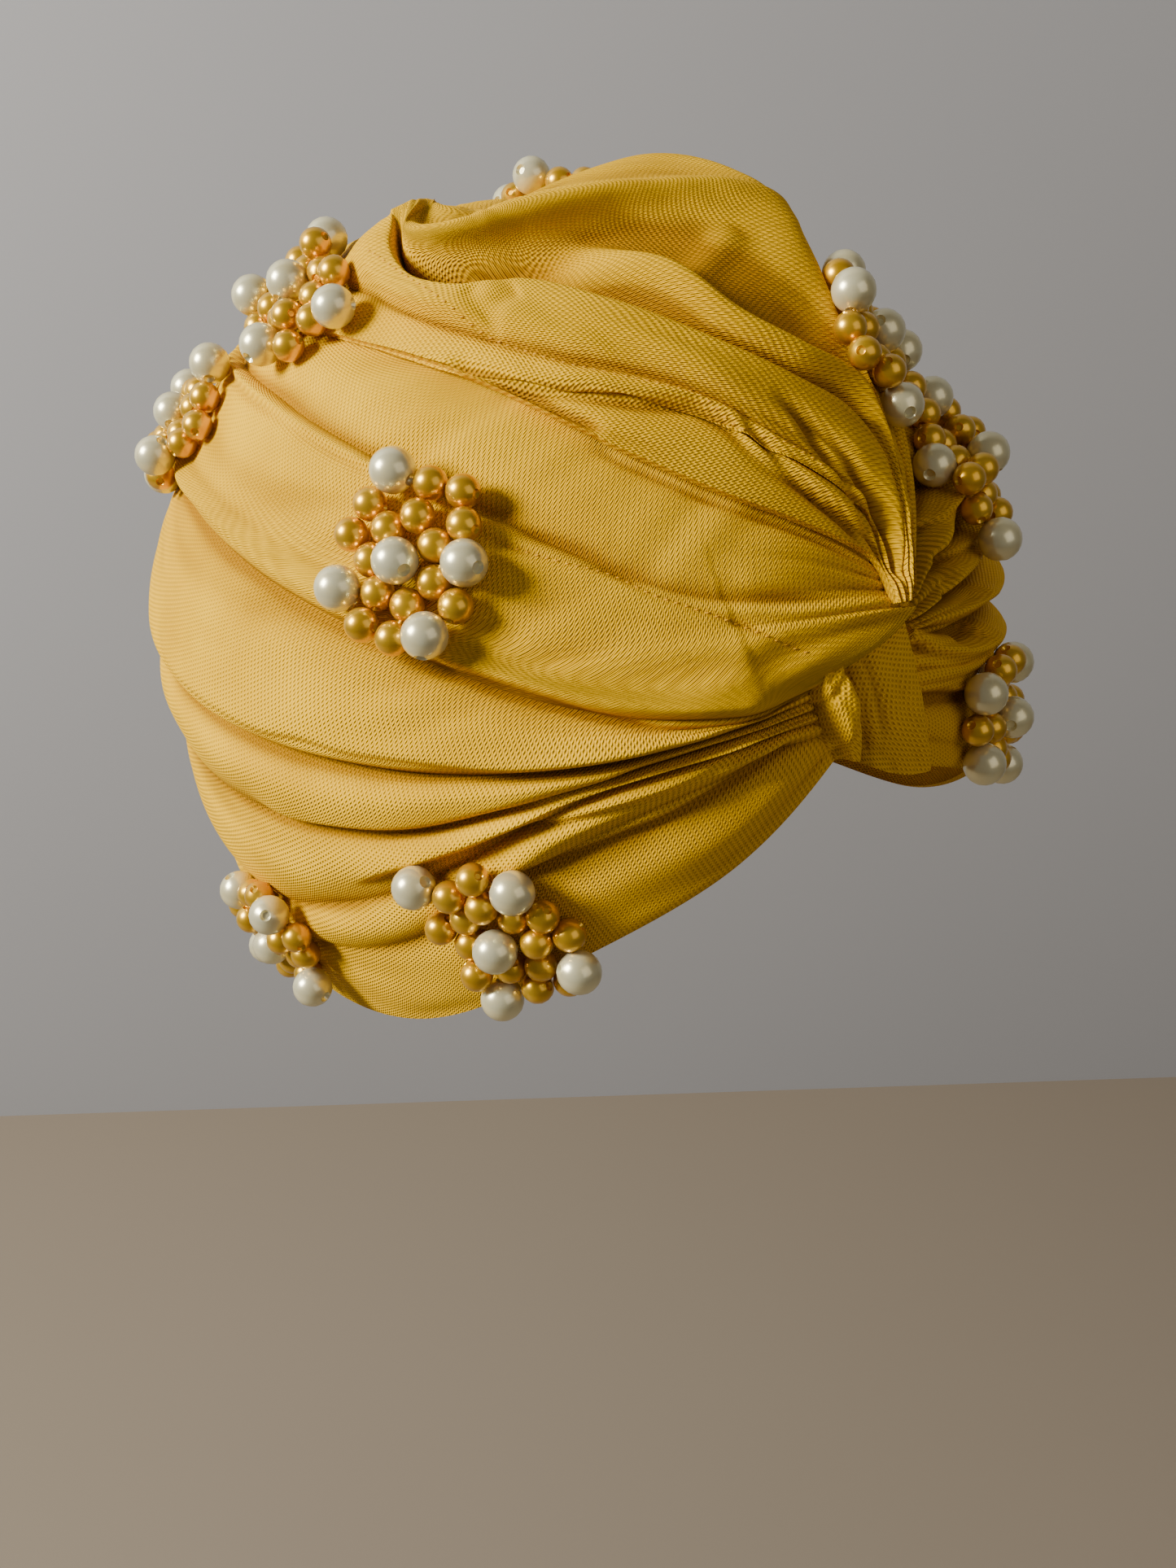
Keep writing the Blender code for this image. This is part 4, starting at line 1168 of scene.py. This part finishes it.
def thread_material():
    """Sewing thread in the cloth's colour, a little darker, with its fine twist."""
    material, tree, shader = new_material("mustard_thread")
    strands = noise(tree, object_place(tree), 3000)
    thread = ramp(tree, strands, (0.50, 0.24, 0.0, 1), (0.78, 0.42, 0.02, 1))
    tree.links.new(thread, shader.inputs["Base Color"])
    set_inputs(shader, {"Roughness": 0.55, "Specular IOR Level": 0.2})
    return material


class TURBAN_OT_seam_stitches(bpy.types.Operator):
    """Makes the small slanted stitches along the two seams"""

    bl_idname = "turban.seam_stitches"
    bl_label = "Seam stitches"

    def execute(self, context):
        stitch = stitch_mesh(context)
        thread = thread_material()
        for seam in SEAMS:
            tree = surface_tree([bpy.data.objects[seam.cloth + "_cloth"]])
            directions, path = form_course(seam.places)
            travelled = travelled_lengths(path, 0)
            bm = bmesh.new()
            for length in np.arange(STITCH_STEP, travelled[-1] - STITCH_STEP, STITCH_STEP):
                index = int(np.searchsorted(travelled, length)) - 1
                share = (length - travelled[index]) / (travelled[index + 1] - travelled[index])
                foot = Vector(path[index] * (1 - share) + path[index + 1] * share)
                outward = Vector(directions[index])
                hit, facing = tree.ray_cast(foot + outward * SEARCH_HEIGHT, -outward)[:2]
                if facing.dot(outward) < 0:
                    facing = -facing
                along = Vector(path[index + 1] - path[index])
                across = facing.cross(along).normalized()
                along = across.cross(facing)
                frame_of = Matrix((along, across, facing)).transposed().to_4x4()
                slant = Matrix.Rotation(STITCH_SLANT, 4, "Z")
                add_copy(bm, stitch, Matrix.Translation(hit) @ frame_of @ slant)
            obj = add_edited(context, seam.cloth + "_stitches", bm, thread)
        bpy.data.meshes.remove(stitch)
        return {"FINISHED"}


class TURBAN_OT_stage(bpy.types.Operator):
    """Makes the floor, the backdrop, the soft window light and the camera"""

    bl_idname = "turban.stage"
    bl_label = "Stage"

    def execute(self, context):
        settings = context.scene.turban
        scene = context.scene
        bpy.ops.object.select_all(action="DESELECT")
        bpy.ops.mesh.primitive_plane_add(size=4.0, location=(0, 0, -0.62))
        floor = context.object
        floor.name = "floor"
        floor.data.materials.append(plain_material("pale_floor", settings.floor_colour))
        upright = (math.pi / 2, 0, math.radians(-31.8))
        bpy.ops.mesh.primitive_plane_add(size=4.0, location=(0.216, 0.340, 0.5), rotation=upright)
        wall = context.object
        wall.name = "backdrop"
        wall.data.materials.append(plain_material("pale_backdrop", settings.backdrop_colour))
        power = settings.light_strength
        add_light("window", (-1.0, 0.36, 0.56), 0.42, power, (1.0, 0.96, 0.90))
        add_light("room", (0.3, -1.3, 0.7), 1.2, power * ROOM_SHARE, (1.0, 0.90, 0.80))
        world = bpy.data.worlds.new("room")
        world.use_nodes = True
        light = {"Color": (0.88, 0.82, 0.76, 1), "Strength": 0.15}
        set_inputs(world.node_tree.nodes["Background"], light)
        scene.world = world
        camera = bpy.data.objects.new("camera", bpy.data.cameras.new("camera"))
        scene.collection.objects.link(camera)
        camera.data.lens = CAMERA_LENS
        camera.data.clip_start = 10 * MM
        turn = Matrix((CAMERA_RIGHT, CAMERA_UP, -CAMERA_FORWARD)).transposed()
        camera.matrix_world = Matrix.Translation(CAMERA_PLACE) @ turn.to_4x4()
        scene.camera = camera
        return {"FINISHED"}


def add_light(name, place, size, power, colour):
    """A square soft light that faces the hat."""
    light = bpy.data.lights.new(name, "AREA")
    light.size = size
    light.energy = power
    light.color = colour
    obj = bpy.data.objects.new(name, light)
    bpy.context.scene.collection.objects.link(obj)
    obj.location = place
    obj.rotation_euler = (Vector(LIGHT_TARGET) - Vector(place)).to_track_quat("-Z", "Y").to_euler()
    return obj


STEPS = (
    TURBAN_OT_right_drape,
    TURBAN_OT_crown_fold,
    TURBAN_OT_left_drape,
    TURBAN_OT_twist_loops,
    TURBAN_OT_seam_stitches,
    TURBAN_OT_pearls,
    TURBAN_OT_stage,
)


class TURBAN_PT_panel(bpy.types.Panel):
    """The hat's sizes and colours, and a button for each step"""

    bl_label = "Turban hat"
    bl_idname = "TURBAN_PT_panel"
    bl_space_type = "VIEW_3D"
    bl_region_type = "UI"
    bl_category = "Turban"

    def draw(self, context):
        for name in TurbanSettings.__annotations__:
            self.layout.prop(context.scene.turban, name)
        for step in STEPS:
            self.layout.operator(step.bl_idname)


CLASSES = (TurbanSettings, *STEPS, TURBAN_PT_panel)


def register():
    """Makes the classes known and adds the settings to the scene."""
    for item in CLASSES:
        bpy.utils.register_class(item)
    bpy.types.Scene.turban = bpy.props.PointerProperty(type=TurbanSettings)


def unregister():
    """Takes the settings and the classes away again."""
    del bpy.types.Scene.turban
    for item in reversed(CLASSES):
        bpy.utils.unregister_class(item)


def main():
    """Makes every piece in order."""
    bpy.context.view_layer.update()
    register()
    bpy.ops.turban.right_drape()
    bpy.ops.turban.crown_fold()
    bpy.ops.turban.left_drape()
    bpy.ops.turban.twist_loops()
    bpy.ops.turban.seam_stitches()
    bpy.ops.turban.pearls()
    bpy.ops.turban.stage()


if __name__ == "__main__":
    main()
